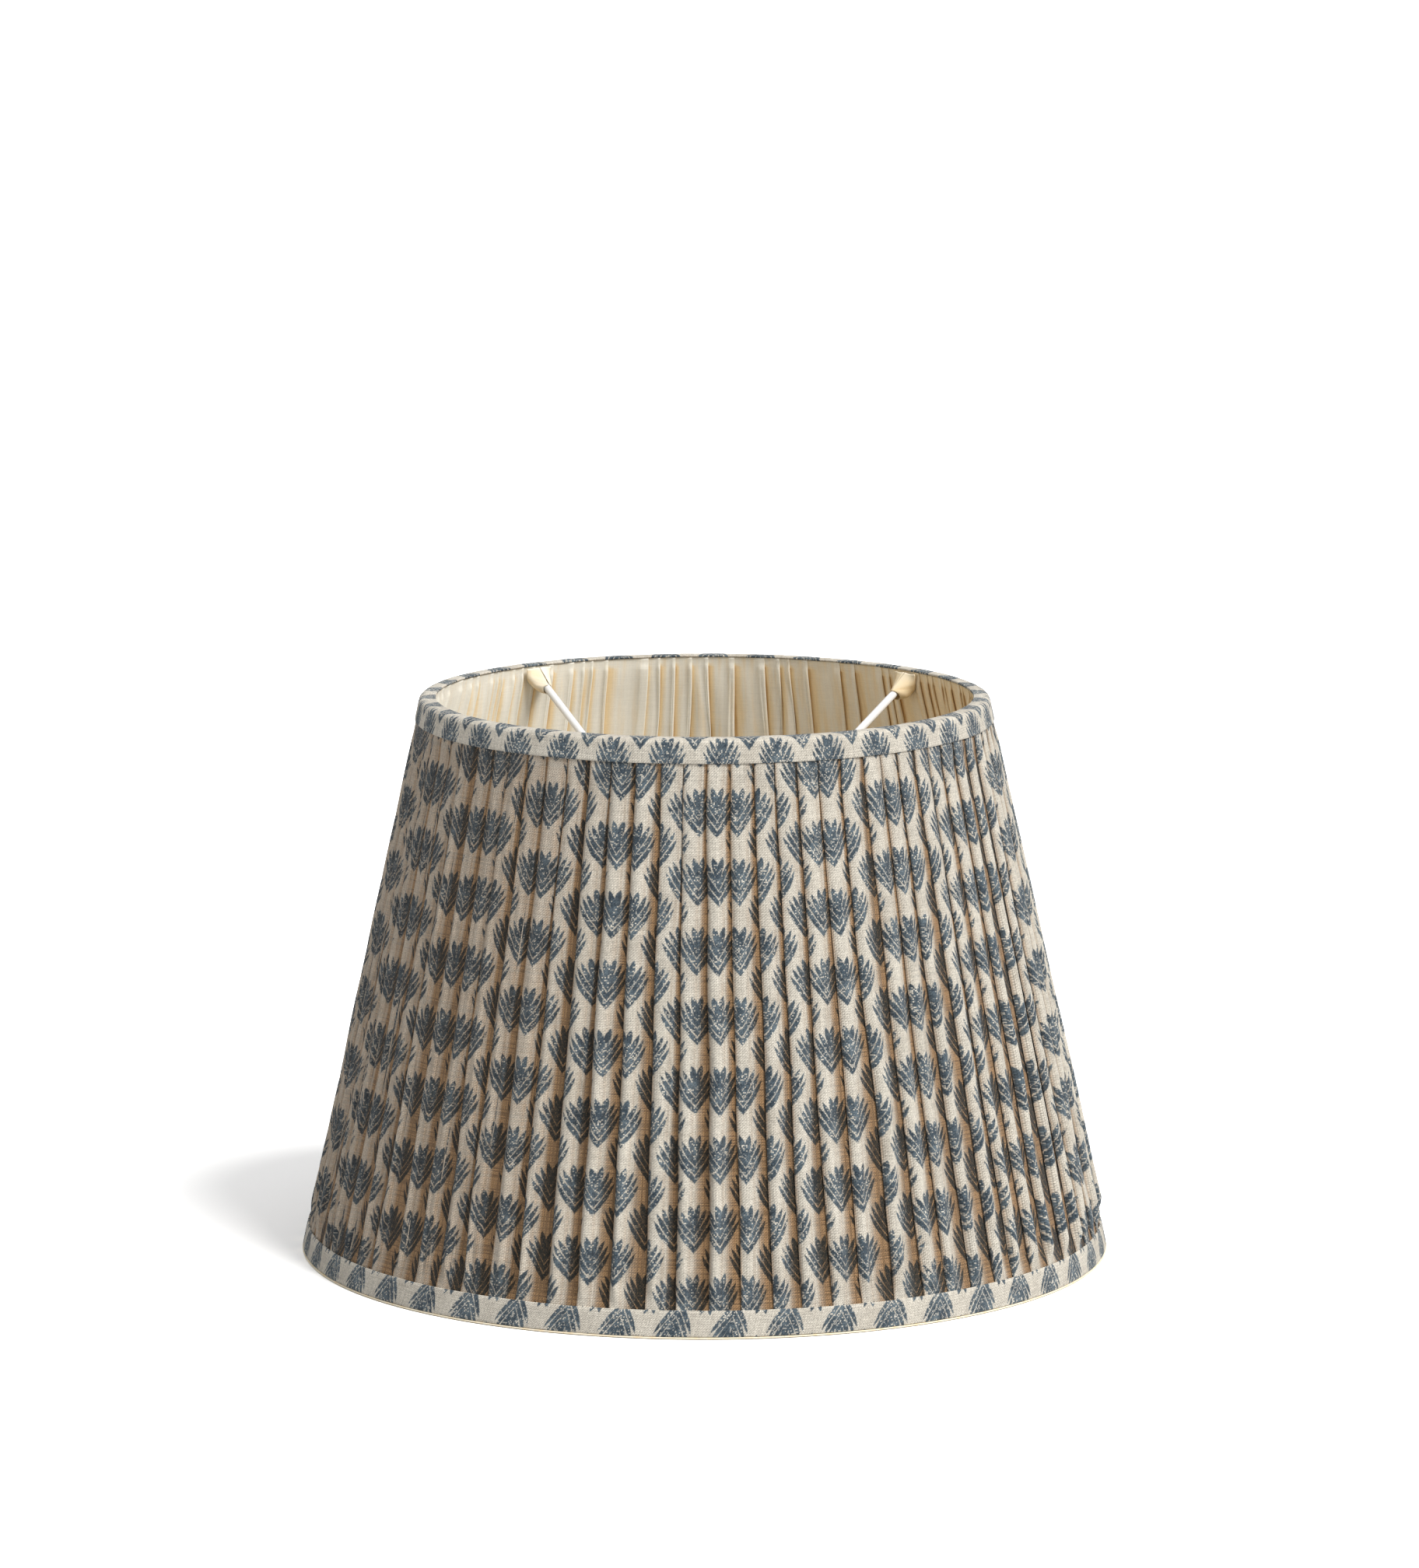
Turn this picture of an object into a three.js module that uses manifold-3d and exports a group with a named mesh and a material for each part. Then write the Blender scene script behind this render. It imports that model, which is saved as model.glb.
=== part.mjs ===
// An empire lamp shade on a welded wire frame: a knife-pleated linen cover, a gathered
// cotton lining, a binding round each rim and a sunk ring that hangs on a lampholder.
// Millimetres, +Z up. The origin is on the axis, in the plane the shade stands on.
import * as THREE from 'three';
import { mergeVertices } from 'three/addons/utils/BufferGeometryUtils.js';
import Module from 'manifold-3d';

// ---------------------------------------------------------------- driving dimensions
// The outer wall is a straight cone from the bottom edge to the top edge.
const shadeHeight = 290;
const topDiameter = 294;
const bottomDiameter = 420;

// The running gap that every two touching pieces keep.
const clearance = 0.3;

// Wire of the frame.
const ringWire = 3.5;
const ribWire = 3;
const armWire = 4;
const ribCount = 8;
const armCount = 4;
const frameTurn = 39.8; // degrees from +X to the first arm

// The pressed ring that the lampholder clamps, sunk below the top edge.
const fitterBore = 40.5;
const fitterDiameter = 54;
const fitterSheet = 1.6;
const fitterFlange = 5;
const fitterEdgeRound = 0.5;
const fitterDrop = 76;
const armLegLength = 10; // flat end of an arm, from the fitter ring to the corner of its bend
const armBendRadius = 12;

// Textiles. Thicknesses are those of the layers as they lie, folds included.
const tapeThickness = 0.5;
const bindingThickness = 0.7;
const topBindingDepth = 12.4;
const bottomBindingDepth = 12.8;
const coverRimThickness = 1; // pleats pressed flat under a binding
const coverInnerStandOff = 0.35; // pleated cover to the ribs behind it
const coverTopSink = 1.2; // how far the pleats lie below the wall line near the top
const coverBottomSwell = 0.4; // how far the fuller pleats stand out near the bottom
const coverSwellHeight = 55;
const liningRimThickness = 0.7;
const liningStandOff = 0.4; // lining to the ribs it hangs behind
const liningFoldDepth = 2.2; // depth of the gathers away from the rims
const liningTurnUnder = 1; // thickness of the lining where it is turned under the bottom ring
const liningTurnInset = 0.5; // edge of that turn, back from the wall line
const gatherRun = 10; // height over which the pressed layers open out

// Cotton strips that finish the lining round each arm.
const patchThickness = 0.8;
const patchHalfSpan = 10; // arm to each sewn end, along the rim
const patchLength = 9; // along the arm
const patchTopInset = 1.5; // sewn ends below the underside of the binding

// Facets.
const aroundSegments = 48;
const ringSides = 8;
const wireSides = 8;
const armSteps = 28;
const patchArcPoints = 4;
const mergeTolerance = 1e-4;

// ---------------------------------------------------------------- derived dimensions
const radians = THREE.MathUtils.degToRad;
const topRadius = topDiameter / 2;
const bottomRadius = bottomDiameter / 2;
const wallAngle = Math.atan2(bottomRadius - topRadius, shadeHeight);

// Radius at a height of the surface that lies a distance inside the outer wall line.
function wallRadius(inset, z) {
  const atWall = THREE.MathUtils.lerp(bottomRadius, topRadius, z / shadeHeight);
  return atWall - inset / Math.cos(wallAngle);
}

// Layers of the wall, measured inwards from the outer wall line.
const wrappedRingRadius = ringWire / 2 + clearance + tapeThickness;
const coverOuterInset = bindingThickness + clearance;
const coverRimInset = coverOuterInset + coverRimThickness;
const ringInset = coverRimInset + clearance + wrappedRingRadius;
const coverInnerInset = ringInset - ribWire / 2 - coverInnerStandOff;
const liningRimOuterInset = ringInset + wrappedRingRadius + clearance;
const liningRimInnerInset = liningRimOuterInset + liningRimThickness;
const liningOuterInset = ringInset + ribWire / 2 + liningStandOff;
const liningInnerInset = liningOuterInset + liningFoldDepth;

// Heights.
const topUnderBinding = shadeHeight - bindingThickness - clearance;
const topRingHeight = topUnderBinding - wrappedRingRadius;
const bottomOverTurn = liningTurnUnder + clearance;
const bottomRingHeight = bottomOverTurn + wrappedRingRadius;
const topPressedHeight = shadeHeight - topBindingDepth - clearance;
const bottomPressedHeight = bottomOverTurn + bottomBindingDepth + clearance;
const topRingRadius = wallRadius(ringInset, topRingHeight);
const bottomRingRadius = wallRadius(ringInset, bottomRingHeight);

const fitterTop = shadeHeight - fitterDrop;
const fitterRadius = fitterDiameter / 2;
const armLegHeight = fitterTop - fitterFlange / 2;
const armEndRadius = fitterRadius + clearance;
const armCornerRadius = armEndRadius + armLegLength;
const armSlope = Math.atan2(topRingHeight - armLegHeight, topRingRadius - armCornerRadius);
const ringSeat = ringWire / 2 + clearance; // from a ring's centre line to a wire end on it

// ---------------------------------------------------------------- materials
function finish(color, roughness, metalness = 0) {
  return new THREE.MeshStandardMaterial({ color, roughness, metalness });
}
const whiteCoat = () => finish(0xf1f0ec, 0.35);
const cottonTape = () => finish(0xe9e2d0, 0.9);
const printedLinen = () => finish(0xb9ab93, 0.95);
const creamCotton = () => finish(0xe8dcc0, 0.9);

// ---------------------------------------------------------------- helpers
const wasm = await Module();
wasm.setup();

function asSolid(geometry) {
  const bare = geometry.clone();
  bare.deleteAttribute('normal');
  bare.deleteAttribute('uv');
  const merged = mergeVertices(bare, mergeTolerance);
  const vertProperties = Float32Array.from(merged.attributes.position.array);
  const triVerts = Uint32Array.from(merged.index.array);
  return new wasm.Manifold(new wasm.Mesh({ numProp: 3, vertProperties, triVerts }));
}

function asGeometry(solid) {
  const mesh = solid.getMesh();
  const geometry = new THREE.BufferGeometry();
  geometry.setAttribute('position', new THREE.BufferAttribute(mesh.vertProperties, mesh.numProp));
  geometry.setIndex(new THREE.BufferAttribute(mesh.triVerts, 1));
  return geometry;
}

function cutWith(geometry, cutters) {
  const cut = cutters.reduce((solid, cutter) => solid.subtract(asSolid(cutter)), asSolid(geometry));
  return asGeometry(cut);
}

// Turns a closed outline of [radius, height] pairs about the Z axis.
function turned(outline) {
  const corners = outline.map(([radius, z]) => new THREE.Vector2(radius, z));
  if (THREE.ShapeUtils.area(corners) < 0) {
    corners.reverse();
  }
  corners.push(corners[0].clone());
  return new THREE.LatheGeometry(corners, aroundSegments).rotateX(Math.PI / 2);
}

// The outline of a wire ring, or of the tape round it, as a polygon of equal sides.
function circleOutline(centreRadius, centreHeight, radius) {
  return Array.from({ length: ringSides }, (_, side) => {
    const angle = (side + 0.5) * 2 * Math.PI / ringSides;
    return [centreRadius + radius * Math.cos(angle), centreHeight + radius * Math.sin(angle)];
  });
}

function wireAlong(path, diameter, steps = 1) {
  const section = new THREE.Shape();
  section.absarc(0, 0, diameter / 2, 0, 2 * Math.PI);
  const halfSides = wireSides / 2; // three.js doubles this count on a round section
  const options = { curveSegments: halfSides, steps, extrudePath: path, bevelEnabled: false };
  return new THREE.ExtrudeGeometry(section, options);
}

// A point in the vertical plane through the axis and +X.
const inPlane = (radius, z) => new THREE.Vector3(radius, 0, z);

const armAngles = Array.from({ length: armCount }, (_, i) => i * 2 * Math.PI / armCount);
const ribAngles = Array.from({ length: ribCount }, (_, i) => (i + 0.5) * 2 * Math.PI / ribCount);

function addMesh(group, name, geometry, material) {
  const mesh = new THREE.Mesh(geometry, material);
  mesh.name = name;
  group.add(mesh);
  return mesh;
}

// ---------------------------------------------------------------- frame
// From the fitter ring: a flat leg, a bend, and a straight run up to the top ring.
function armPath() {
  const bendReach = armBendRadius * Math.tan(armSlope / 2);
  const corner = inPlane(armCornerRadius, armLegHeight);
  const uphill = new THREE.Vector3(Math.cos(armSlope), 0, Math.sin(armSlope));
  const bendStart = inPlane(armCornerRadius - bendReach, armLegHeight);
  const bendEnd = corner.clone().addScaledVector(uphill, bendReach);
  const ringCentre = inPlane(topRingRadius, topRingHeight);
  const ringEnd = ringCentre.clone().addScaledVector(uphill, -ringSeat);
  const path = new THREE.CurvePath();
  path.add(new THREE.LineCurve3(inPlane(armEndRadius, armLegHeight), bendStart));
  path.add(new THREE.QuadraticBezierCurve3(bendStart, corner, bendEnd));
  path.add(new THREE.LineCurve3(bendEnd, ringEnd));
  return path;
}

// The room an arm needs through the tape and the lining beside the top ring.
function armPassage(angle) {
  const uphill = new THREE.Vector3(Math.cos(armSlope), 0, Math.sin(armSlope));
  const ringCentre = inPlane(topRingRadius, topRingHeight);
  const reach = liningInnerInset / Math.cos(armSlope) + armWire;
  const inside = ringCentre.clone().addScaledVector(uphill, -reach);
  const passage = wireAlong(new THREE.LineCurve3(inside, ringCentre), armWire + 2 * clearance);
  return passage.rotateZ(angle);
}

function ribPath(endGap) {
  const top = inPlane(topRingRadius, topRingHeight);
  const bottom = inPlane(bottomRingRadius, bottomRingHeight);
  const along = top.clone().sub(bottom).normalize();
  const start = bottom.clone().addScaledVector(along, endGap);
  const end = top.clone().addScaledVector(along, -endGap);
  return new THREE.LineCurve3(start, end);
}

function ribPassage(angle) {
  return wireAlong(ribPath(0), ribWire + 2 * clearance).rotateZ(angle);
}

function fitterOutline() {
  const bore = fitterBore / 2;
  const underside = fitterTop - fitterSheet;
  const hem = fitterTop - fitterFlange;
  const web = fitterRadius - fitterSheet;
  return [
    [bore, fitterTop],
    [fitterRadius - fitterEdgeRound, fitterTop],
    [fitterRadius, fitterTop - fitterEdgeRound],
    [fitterRadius, hem],
    [web, hem],
    [web, underside],
    [bore, underside],
  ];
}

function addFrame(group) {
  const topRing = circleOutline(topRingRadius, topRingHeight, ringWire / 2);
  const bottomRing = circleOutline(bottomRingRadius, bottomRingHeight, ringWire / 2);
  addMesh(group, 'top_ring', turned(topRing), whiteCoat());
  addMesh(group, 'bottom_ring', turned(bottomRing), whiteCoat());
  ribAngles.forEach((angle, i) => {
    const rib = wireAlong(ribPath(ringSeat), ribWire);
    addMesh(group, `rib_${i + 1}`, rib, whiteCoat()).rotation.z = angle;
  });
  armAngles.forEach((angle, i) => {
    const arm = wireAlong(armPath(), armWire, armSteps);
    addMesh(group, `fitter_arm_${i + 1}`, arm, whiteCoat()).rotation.z = angle;
  });
  addMesh(group, 'fitter_ring', turned(fitterOutline()), whiteCoat());
}

// ---------------------------------------------------------------- ring tapes
// Tape wound round a ring, open where a wire joins it.
function tapeSleeve(ringRadius, ringHeight, passages) {
  const outer = turned(circleOutline(ringRadius, ringHeight, wrappedRingRadius));
  const inner = turned(circleOutline(ringRadius, ringHeight, ringWire / 2 + clearance));
  return cutWith(outer, [inner, ...passages]);
}

function addTapes(group) {
  const ribPassages = ribAngles.map(ribPassage);
  const topPassages = [...ribPassages, ...armAngles.map(armPassage)];
  const topTape = tapeSleeve(topRingRadius, topRingHeight, topPassages);
  const bottomTape = tapeSleeve(bottomRingRadius, bottomRingHeight, ribPassages);
  addMesh(group, 'top_ring_tape', topTape, cottonTape());
  addMesh(group, 'bottom_ring_tape', bottomTape, cottonTape());
}

// ---------------------------------------------------------------- cover, lining, bindings
// An outline given as [inset from the wall line, height] pairs.
const wallOutline = (points) => points.map(([inset, z]) => [wallRadius(inset, z), z]);

function coverOutline() {
  return wallOutline([
    [coverOuterInset, bottomOverTurn],
    [coverOuterInset, bottomPressedHeight],
    [-coverBottomSwell, bottomPressedHeight + 2 * gatherRun],
    [-coverBottomSwell, coverSwellHeight + gatherRun],
    [coverTopSink, topPressedHeight - gatherRun],
    [coverOuterInset, topPressedHeight],
    [coverOuterInset, topUnderBinding],
    [coverRimInset, topUnderBinding],
    [coverRimInset, topPressedHeight],
    [coverInnerInset, topPressedHeight - gatherRun],
    [coverInnerInset, bottomPressedHeight + gatherRun],
    [coverRimInset, bottomPressedHeight],
    [coverRimInset, bottomOverTurn],
  ]);
}

// The lining hangs from the top rim and is turned outwards under the bottom ring.
function liningOutline() {
  return wallOutline([
    [liningTurnInset, 0],
    [liningTurnInset, liningTurnUnder],
    [liningRimOuterInset, liningTurnUnder],
    [liningRimOuterInset, bottomPressedHeight],
    [liningOuterInset, bottomPressedHeight + gatherRun],
    [liningOuterInset, topPressedHeight - gatherRun],
    [liningRimOuterInset, topPressedHeight],
    [liningRimOuterInset, topUnderBinding],
    [liningRimInnerInset, topUnderBinding],
    [liningRimInnerInset, topPressedHeight],
    [liningInnerInset, topPressedHeight - gatherRun],
    [liningInnerInset, bottomPressedHeight + gatherRun],
    [liningRimInnerInset, bottomPressedHeight],
    [liningRimInnerInset, 0],
  ]);
}

// The top binding covers the outside of the rim and folds over the top of every layer.
function topBindingOutline() {
  const lowerEdge = shadeHeight - topBindingDepth;
  const underside = shadeHeight - bindingThickness;
  return wallOutline([
    [0, lowerEdge],
    [0, shadeHeight],
    [liningRimInnerInset, shadeHeight],
    [liningRimInnerInset, underside],
    [bindingThickness, underside],
    [bindingThickness, lowerEdge],
  ]);
}

// The bottom binding is a flat band that stops at the turn of the lining.
function bottomBindingOutline() {
  const upperEdge = bottomOverTurn + bottomBindingDepth;
  return wallOutline([
    [0, bottomOverTurn],
    [0, upperEdge],
    [bindingThickness, upperEdge],
    [bindingThickness, bottomOverTurn],
  ]);
}

function addWall(group) {
  const lining = cutWith(turned(liningOutline()), armAngles.map(armPassage));
  addMesh(group, 'outer_cover', turned(coverOutline()), printedLinen());
  addMesh(group, 'lining', lining, creamCotton());
  addMesh(group, 'top_binding', turned(topBindingOutline()), printedLinen());
  addMesh(group, 'bottom_binding', turned(bottomBindingOutline()), printedLinen());
}

// ---------------------------------------------------------------- strips round the arms
// A strip slung under an arm, with both ends carried up to the rim. It is drawn square
// to the arm's plane, then sheared to run down with the arm.
function patchGeometry() {
  const liningFace = wallRadius(liningRimInnerInset, topUnderBinding);
  const facetFall = patchHalfSpan * Math.tan(Math.PI / aroundSegments);
  const startRadius = liningFace - facetFall - clearance;
  const armDrop = Math.tan(armSlope) * (topRingRadius - startRadius);
  const armCentre = topRingHeight - armDrop;
  const innerRadius = (armWire / 2 + clearance) / Math.cos(armSlope);
  const outerRadius = innerRadius + patchThickness;
  const endHeight = topUnderBinding - patchTopInset - armCentre;
  const sling = new THREE.Shape();
  sling.moveTo(-patchHalfSpan, endHeight);
  sling.lineTo(-outerRadius, 0);
  sling.absarc(0, 0, outerRadius, Math.PI, 2 * Math.PI);
  sling.lineTo(patchHalfSpan, endHeight);
  sling.lineTo(patchHalfSpan - patchThickness, endHeight);
  sling.lineTo(innerRadius, 0);
  sling.absarc(0, 0, innerRadius, 0, Math.PI, true);
  sling.lineTo(patchThickness - patchHalfSpan, endHeight);
  const options = { depth: patchLength, curveSegments: patchArcPoints, bevelEnabled: false };
  const strip = new THREE.ExtrudeGeometry(sling, options);
  const fall = Math.tan(armSlope);
  // Drawn axes: across the arm, up, and along it. They become -Y, +Z and -X of the shade.
  const place = new THREE.Matrix4().set(
    0, 0, -1, startRadius,
    -1, 0, 0, 0,
    0, 1, -fall, armCentre,
    0, 0, 0, 1,
  );
  strip.applyMatrix4(place);
  return strip;
}

function addPatches(group) {
  armAngles.forEach((angle, i) => {
    addMesh(group, `arm_patch_${i + 1}`, patchGeometry(), creamCotton()).rotation.z = angle;
  });
}

// ---------------------------------------------------------------- assembly
const lampShade = new THREE.Group();
const turnedFrame = new THREE.Group();
turnedFrame.rotation.z = radians(frameTurn);
lampShade.add(turnedFrame);
addFrame(turnedFrame);
addTapes(turnedFrame);
addWall(turnedFrame);
addPatches(turnedFrame);

export default lampShade;
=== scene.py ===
# %% [markdown]
# # A knife-pleated lamp shade in printed linen
# The real shade is a welded wire frame dressed in cloth: a long band of printed linen is
# pleated round the outside, a cream cotton lining hangs inside, and a strip of the same
# linen binds each rim. The frame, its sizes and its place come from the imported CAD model.
# This script makes the cloth, the coated wire and their finishes around that frame.

import math

import bmesh
import bpy
import numpy as np
from mathutils import Matrix, Vector


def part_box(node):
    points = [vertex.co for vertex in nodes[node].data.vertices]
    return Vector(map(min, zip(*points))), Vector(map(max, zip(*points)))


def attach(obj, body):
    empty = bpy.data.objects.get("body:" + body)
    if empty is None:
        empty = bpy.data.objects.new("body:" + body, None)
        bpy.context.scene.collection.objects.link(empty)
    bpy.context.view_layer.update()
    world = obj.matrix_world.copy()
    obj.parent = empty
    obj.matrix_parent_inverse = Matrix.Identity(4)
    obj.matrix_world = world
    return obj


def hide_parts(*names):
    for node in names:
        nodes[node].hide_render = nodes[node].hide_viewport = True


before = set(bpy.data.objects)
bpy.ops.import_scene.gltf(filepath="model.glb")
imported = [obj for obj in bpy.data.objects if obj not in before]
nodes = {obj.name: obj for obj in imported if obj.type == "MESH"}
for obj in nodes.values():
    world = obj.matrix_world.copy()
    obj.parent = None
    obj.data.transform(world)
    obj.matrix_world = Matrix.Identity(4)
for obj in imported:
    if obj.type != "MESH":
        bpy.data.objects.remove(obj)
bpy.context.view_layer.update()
MM = 0.001

# %% [markdown]
# ## Where the wall is
# Every layer of the shade follows one straight cone, the outer wall line. Its slope and
# radius can be measured on the two bindings, because their outer faces lie on it. Reading
# it from the frame keeps the cloth in place if the shade is made taller or wider.

# %% The wall line
def rings_of(node):
    """Distance from the axis and height of each corner of a frame node, in metres."""
    corners = nodes[node].data.vertices
    flat = np.empty(len(corners) * 3)
    corners.foreach_get("co", flat)
    points = flat.reshape(-1, 3)
    return np.hypot(points[:, 0], points[:, 1]), points[:, 2]


def outer_point(node, at_top):
    reach, height = rings_of(node)
    level = height.max() if at_top else height.min()
    return reach[np.abs(height - level) < 0.1 * MM].max(), level


low_radius, low_height = outer_point("bottom_binding", False)
high_radius, high_height = outer_point("top_binding", True)
wall_slope = (high_radius - low_radius) / (high_height - low_height)
wall_angle = math.atan(-wall_slope)
shade_height = high_height


def wall(inset, height):
    """Radius of the surface that lies a distance inside the outer wall line."""
    return low_radius + wall_slope * (height - low_height) - inset / math.cos(wall_angle)


def inset_of(radius, height):
    return (wall(0, height) - radius) * math.cos(wall_angle)


print("wall", round(wall(0, 0) * 2, 4), "to", round(high_radius * 2, 4), "m across")

# %% Layers and heights, read from the frame
top_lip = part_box("top_binding")[0].z
bottom_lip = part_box("bottom_binding")[1].z
cloth_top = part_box("lining")[1].z
cloth_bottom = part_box("outer_cover")[0].z
binding_web_end = inset_of(rings_of("top_binding")[0].min(), shade_height)
lining_rim = inset_of(rings_of("lining")[0].min(), cloth_top)
open_run = 10 * MM
print("binding ends", round(binding_web_end / MM, 2), "mm in, cloth top", round(cloth_top / MM, 2), "mm")
print("bindings reach", round(top_lip, 4), round(bottom_lip, 4))
print("lining at the rim is", round(lining_rim / MM, 2), "mm inside the wall line")


def smooth_step(value, start, end):
    t = np.clip((value - start) / (end - start), 0, 1)
    return t * t * (3 - 2 * t)


def mix(a, b, share):
    return a + (b - a) * share


def opening(height):
    """0 where a binding presses the layers flat, 1 where they stand open."""
    rising = smooth_step(height, bottom_lip, bottom_lip + open_run)
    falling = smooth_step(height, top_lip - 1.4 * open_run, top_lip)
    return rising * (1 - falling)


# %% [markdown]
# ## Camera
# The shade is seen from a little above its rim, from far enough away that it is drawn
# almost square on. A long lens does that: a short one would widen the bottom rim.

# %% Camera
camera_aside = 2.55 * MM
camera_back = 3.525
camera_up = 0.8314
camera_tilt = math.radians(9.479)

camera_data = bpy.data.cameras.new("camera")
camera_data.lens = 158.75
camera_data.sensor_width = 36
camera_data.clip_end = 200
camera = bpy.data.objects.new("camera", camera_data)
camera.location = (camera_aside, -camera_back, camera_up)
camera.rotation_euler = (math.radians(90) - camera_tilt, 0, 0)
bpy.context.scene.collection.objects.link(camera)
bpy.context.scene.camera = camera
print("camera lens", camera_data.lens, "mm")

# %% [markdown]
# ## Floor and light
# A studio floor that runs back past the view, and one large soft lamp to the right of the
# camera and high up. A sun lamp lights the whole floor evenly, so the floor stays pale to
# its far end, and its wide angle gives the soft shadow of a big lamp screen. The floor
# shows paler to the camera than it is to the shade, as an over-lit paper sweep does.

# %% From a bmesh to a piece
def finished_piece(name, mesh_maker, finish=None):
    """Make an object of a bmesh, with its finish on it, and put it in the scene."""
    data = bpy.data.meshes.new(name)
    mesh_maker.to_mesh(data)
    mesh_maker.free()
    if finish:
        data.materials.append(finish)
    piece = bpy.data.objects.new(name, data)
    bpy.context.scene.collection.objects.link(piece)
    return piece


floor_half = 60.0

floor_mesh = bmesh.new()
bmesh.ops.create_grid(floor_mesh, x_segments=1, y_segments=1, size=floor_half)
floor = finished_piece("floor", floor_mesh)
print("floor", 2 * floor_half, "m across")

# %% Light
key_azimuth = math.radians(322)
key_height = math.radians(50)
key_softness = math.radians(24)
key_strength = 3.10
key_colour = (1.0, 0.988, 0.968)
sky_strength = 0.54

sun_data = bpy.data.lights.new("key", "SUN")
sun_data.energy = key_strength
sun_data.angle = key_softness
sun_data.color = key_colour
sun = bpy.data.objects.new("key", sun_data)
bpy.context.scene.collection.objects.link(sun)
key_from = Vector((
    math.cos(key_azimuth) * math.cos(key_height),
    math.sin(key_azimuth) * math.cos(key_height),
    math.sin(key_height),
))
sun.rotation_euler = key_from.to_track_quat("Z", "Y").to_euler()

world = bpy.data.worlds.new("studio")
world.use_nodes = True
world.node_tree.nodes["Background"].inputs["Color"].default_value = (1, 1, 1, 1)
world.node_tree.nodes["Background"].inputs["Strength"].default_value = sky_strength
bpy.context.scene.world = world
bpy.context.scene.view_settings.view_transform = "Standard"
print("key lamp from", [round(v, 2) for v in key_from])


# %% [markdown]
# ## Drawing with nodes
# A procedural finish is a small graph. This helper adds one node per line and returns its
# socket, so a formula in the graph reads almost like a formula on paper.

# %% A helper for node graphs
class Graph:
    def __init__(self, tree):
        self.tree = tree

    def put(self, value, socket):
        if isinstance(value, bpy.types.NodeSocket):
            self.tree.links.new(value, socket)
        else:
            socket.default_value = value

    def node(self, kind, inputs=None, **settings):
        made = self.tree.nodes.new(kind)
        for name, value in settings.items():
            setattr(made, name, value)
        for name, value in (inputs or {}).items():
            self.put(value, made.inputs[name])
        return made

    def math(self, operation, *values, clamp=False):
        made = self.node("ShaderNodeMath", operation=operation, use_clamp=clamp)
        for socket, value in zip(made.inputs, values):
            self.put(value, socket)
        return made.outputs[0]

    def vector_math(self, operation, *values):
        made = self.node("ShaderNodeVectorMath", operation=operation)
        for socket, value in zip(made.inputs, values):
            self.put(value, socket)
        return made.outputs[0]

    def split(self, vector):
        return self.node("ShaderNodeSeparateXYZ", {0: vector}).outputs

    def join(self, x, y, z=0.0):
        return self.node("ShaderNodeCombineXYZ", {0: x, 1: y, 2: z}).outputs[0]

    def colours(self, share, first, second):
        made = self.node("ShaderNodeMix", data_type="RGBA")
        self.put(share, made.inputs[0])
        self.put(first, made.inputs[6])
        self.put(second, made.inputs[7])
        return made.outputs[2]

    def ramp(self, value, low, high, start=0.0, end=1.0):
        names = {"Value": value, "From Min": low, "From Max": high, "To Min": start, "To Max": end}
        made = self.node("ShaderNodeMapRange", names, interpolation_type="SMOOTHSTEP")
        return made.outputs[0]

    def noise(self, vector, scale, detail=2.0, roughness=0.5):
        names = {"Vector": vector, "Scale": scale, "Detail": detail, "Roughness": roughness}
        return self.node("ShaderNodeTexNoise", names).outputs[0]

    def bump(self, height, strength, distance):
        names = {"Height": height, "Strength": strength, "Distance": distance}
        return self.node("ShaderNodeBump", names).outputs[0]

    def use(self, group, **inputs):
        made = self.node("ShaderNodeGroup", node_tree=group)
        for name, value in inputs.items():
            self.put(value, made.inputs[name])
        return made.outputs


# %% A new node group
def new_group(name, inputs, outputs):
    """A shader node group. inputs and outputs are (name, socket kind, default) rows."""
    tree = bpy.data.node_groups.new(name, "ShaderNodeTree")
    for title, kind, default in inputs:
        socket = tree.interface.new_socket(title, in_out="INPUT", socket_type=kind)
        if default is not None:
            socket.default_value = default
    for title, kind in outputs:
        tree.interface.new_socket(title, in_out="OUTPUT", socket_type=kind)
    graph = Graph(tree)
    return graph, graph.node("NodeGroupInput").outputs, graph.node("NodeGroupOutput").inputs


FLOAT = "NodeSocketFloat"
VECTOR = "NodeSocketVector"
print("sockets carry", FLOAT, "or", VECTOR)


# %% A new material
def new_material(name):
    """A material with one Principled shader, and the graph to draw in."""
    material = bpy.data.materials.new(name)
    material.use_nodes = True
    graph = Graph(material.node_tree)
    return material, graph, material.node_tree.nodes["Principled BSDF"].inputs


# %% The floor's finish
floor_seen = 1.60
floor_true = 0.52

floor_finish = bpy.data.materials.new("floor_paper")
floor_finish.use_nodes = True
floor_finish.node_tree.nodes.clear()
paper = Graph(floor_finish.node_tree)
seen = paper.node("ShaderNodeBsdfDiffuse", {"Color": (floor_seen, floor_seen, floor_seen, 1)})
true = paper.node("ShaderNodeBsdfDiffuse", {"Color": (floor_true, floor_true, floor_true, 1)})
to_camera = paper.node("ShaderNodeLightPath").outputs["Is Camera Ray"]
paper_mix = paper.node("ShaderNodeMixShader", {0: to_camera, 1: true.outputs[0], 2: seen.outputs[0]})
paper.node("ShaderNodeOutputMaterial", {"Surface": paper_mix.outputs[0]})
floor.data.materials.append(floor_finish)
print("floor finish made")

# %% [markdown]
# ## Plain weave
# Linen and cotton are both plain weave: each thread passes over one and under the next.
# A product of two sine waves gives exactly that chequer of over and under, and the places
# where both waves are near zero are the gaps between threads. The threads are counted in
# the cloth's own flat measure (its UV map, in metres), so the weave follows every fold.
# Slubs, the thick places in linen yarn, are noise stretched along the thread. Each thread,
# and each crossing of two, also gets a number by chance, which other finishes use too.

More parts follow.
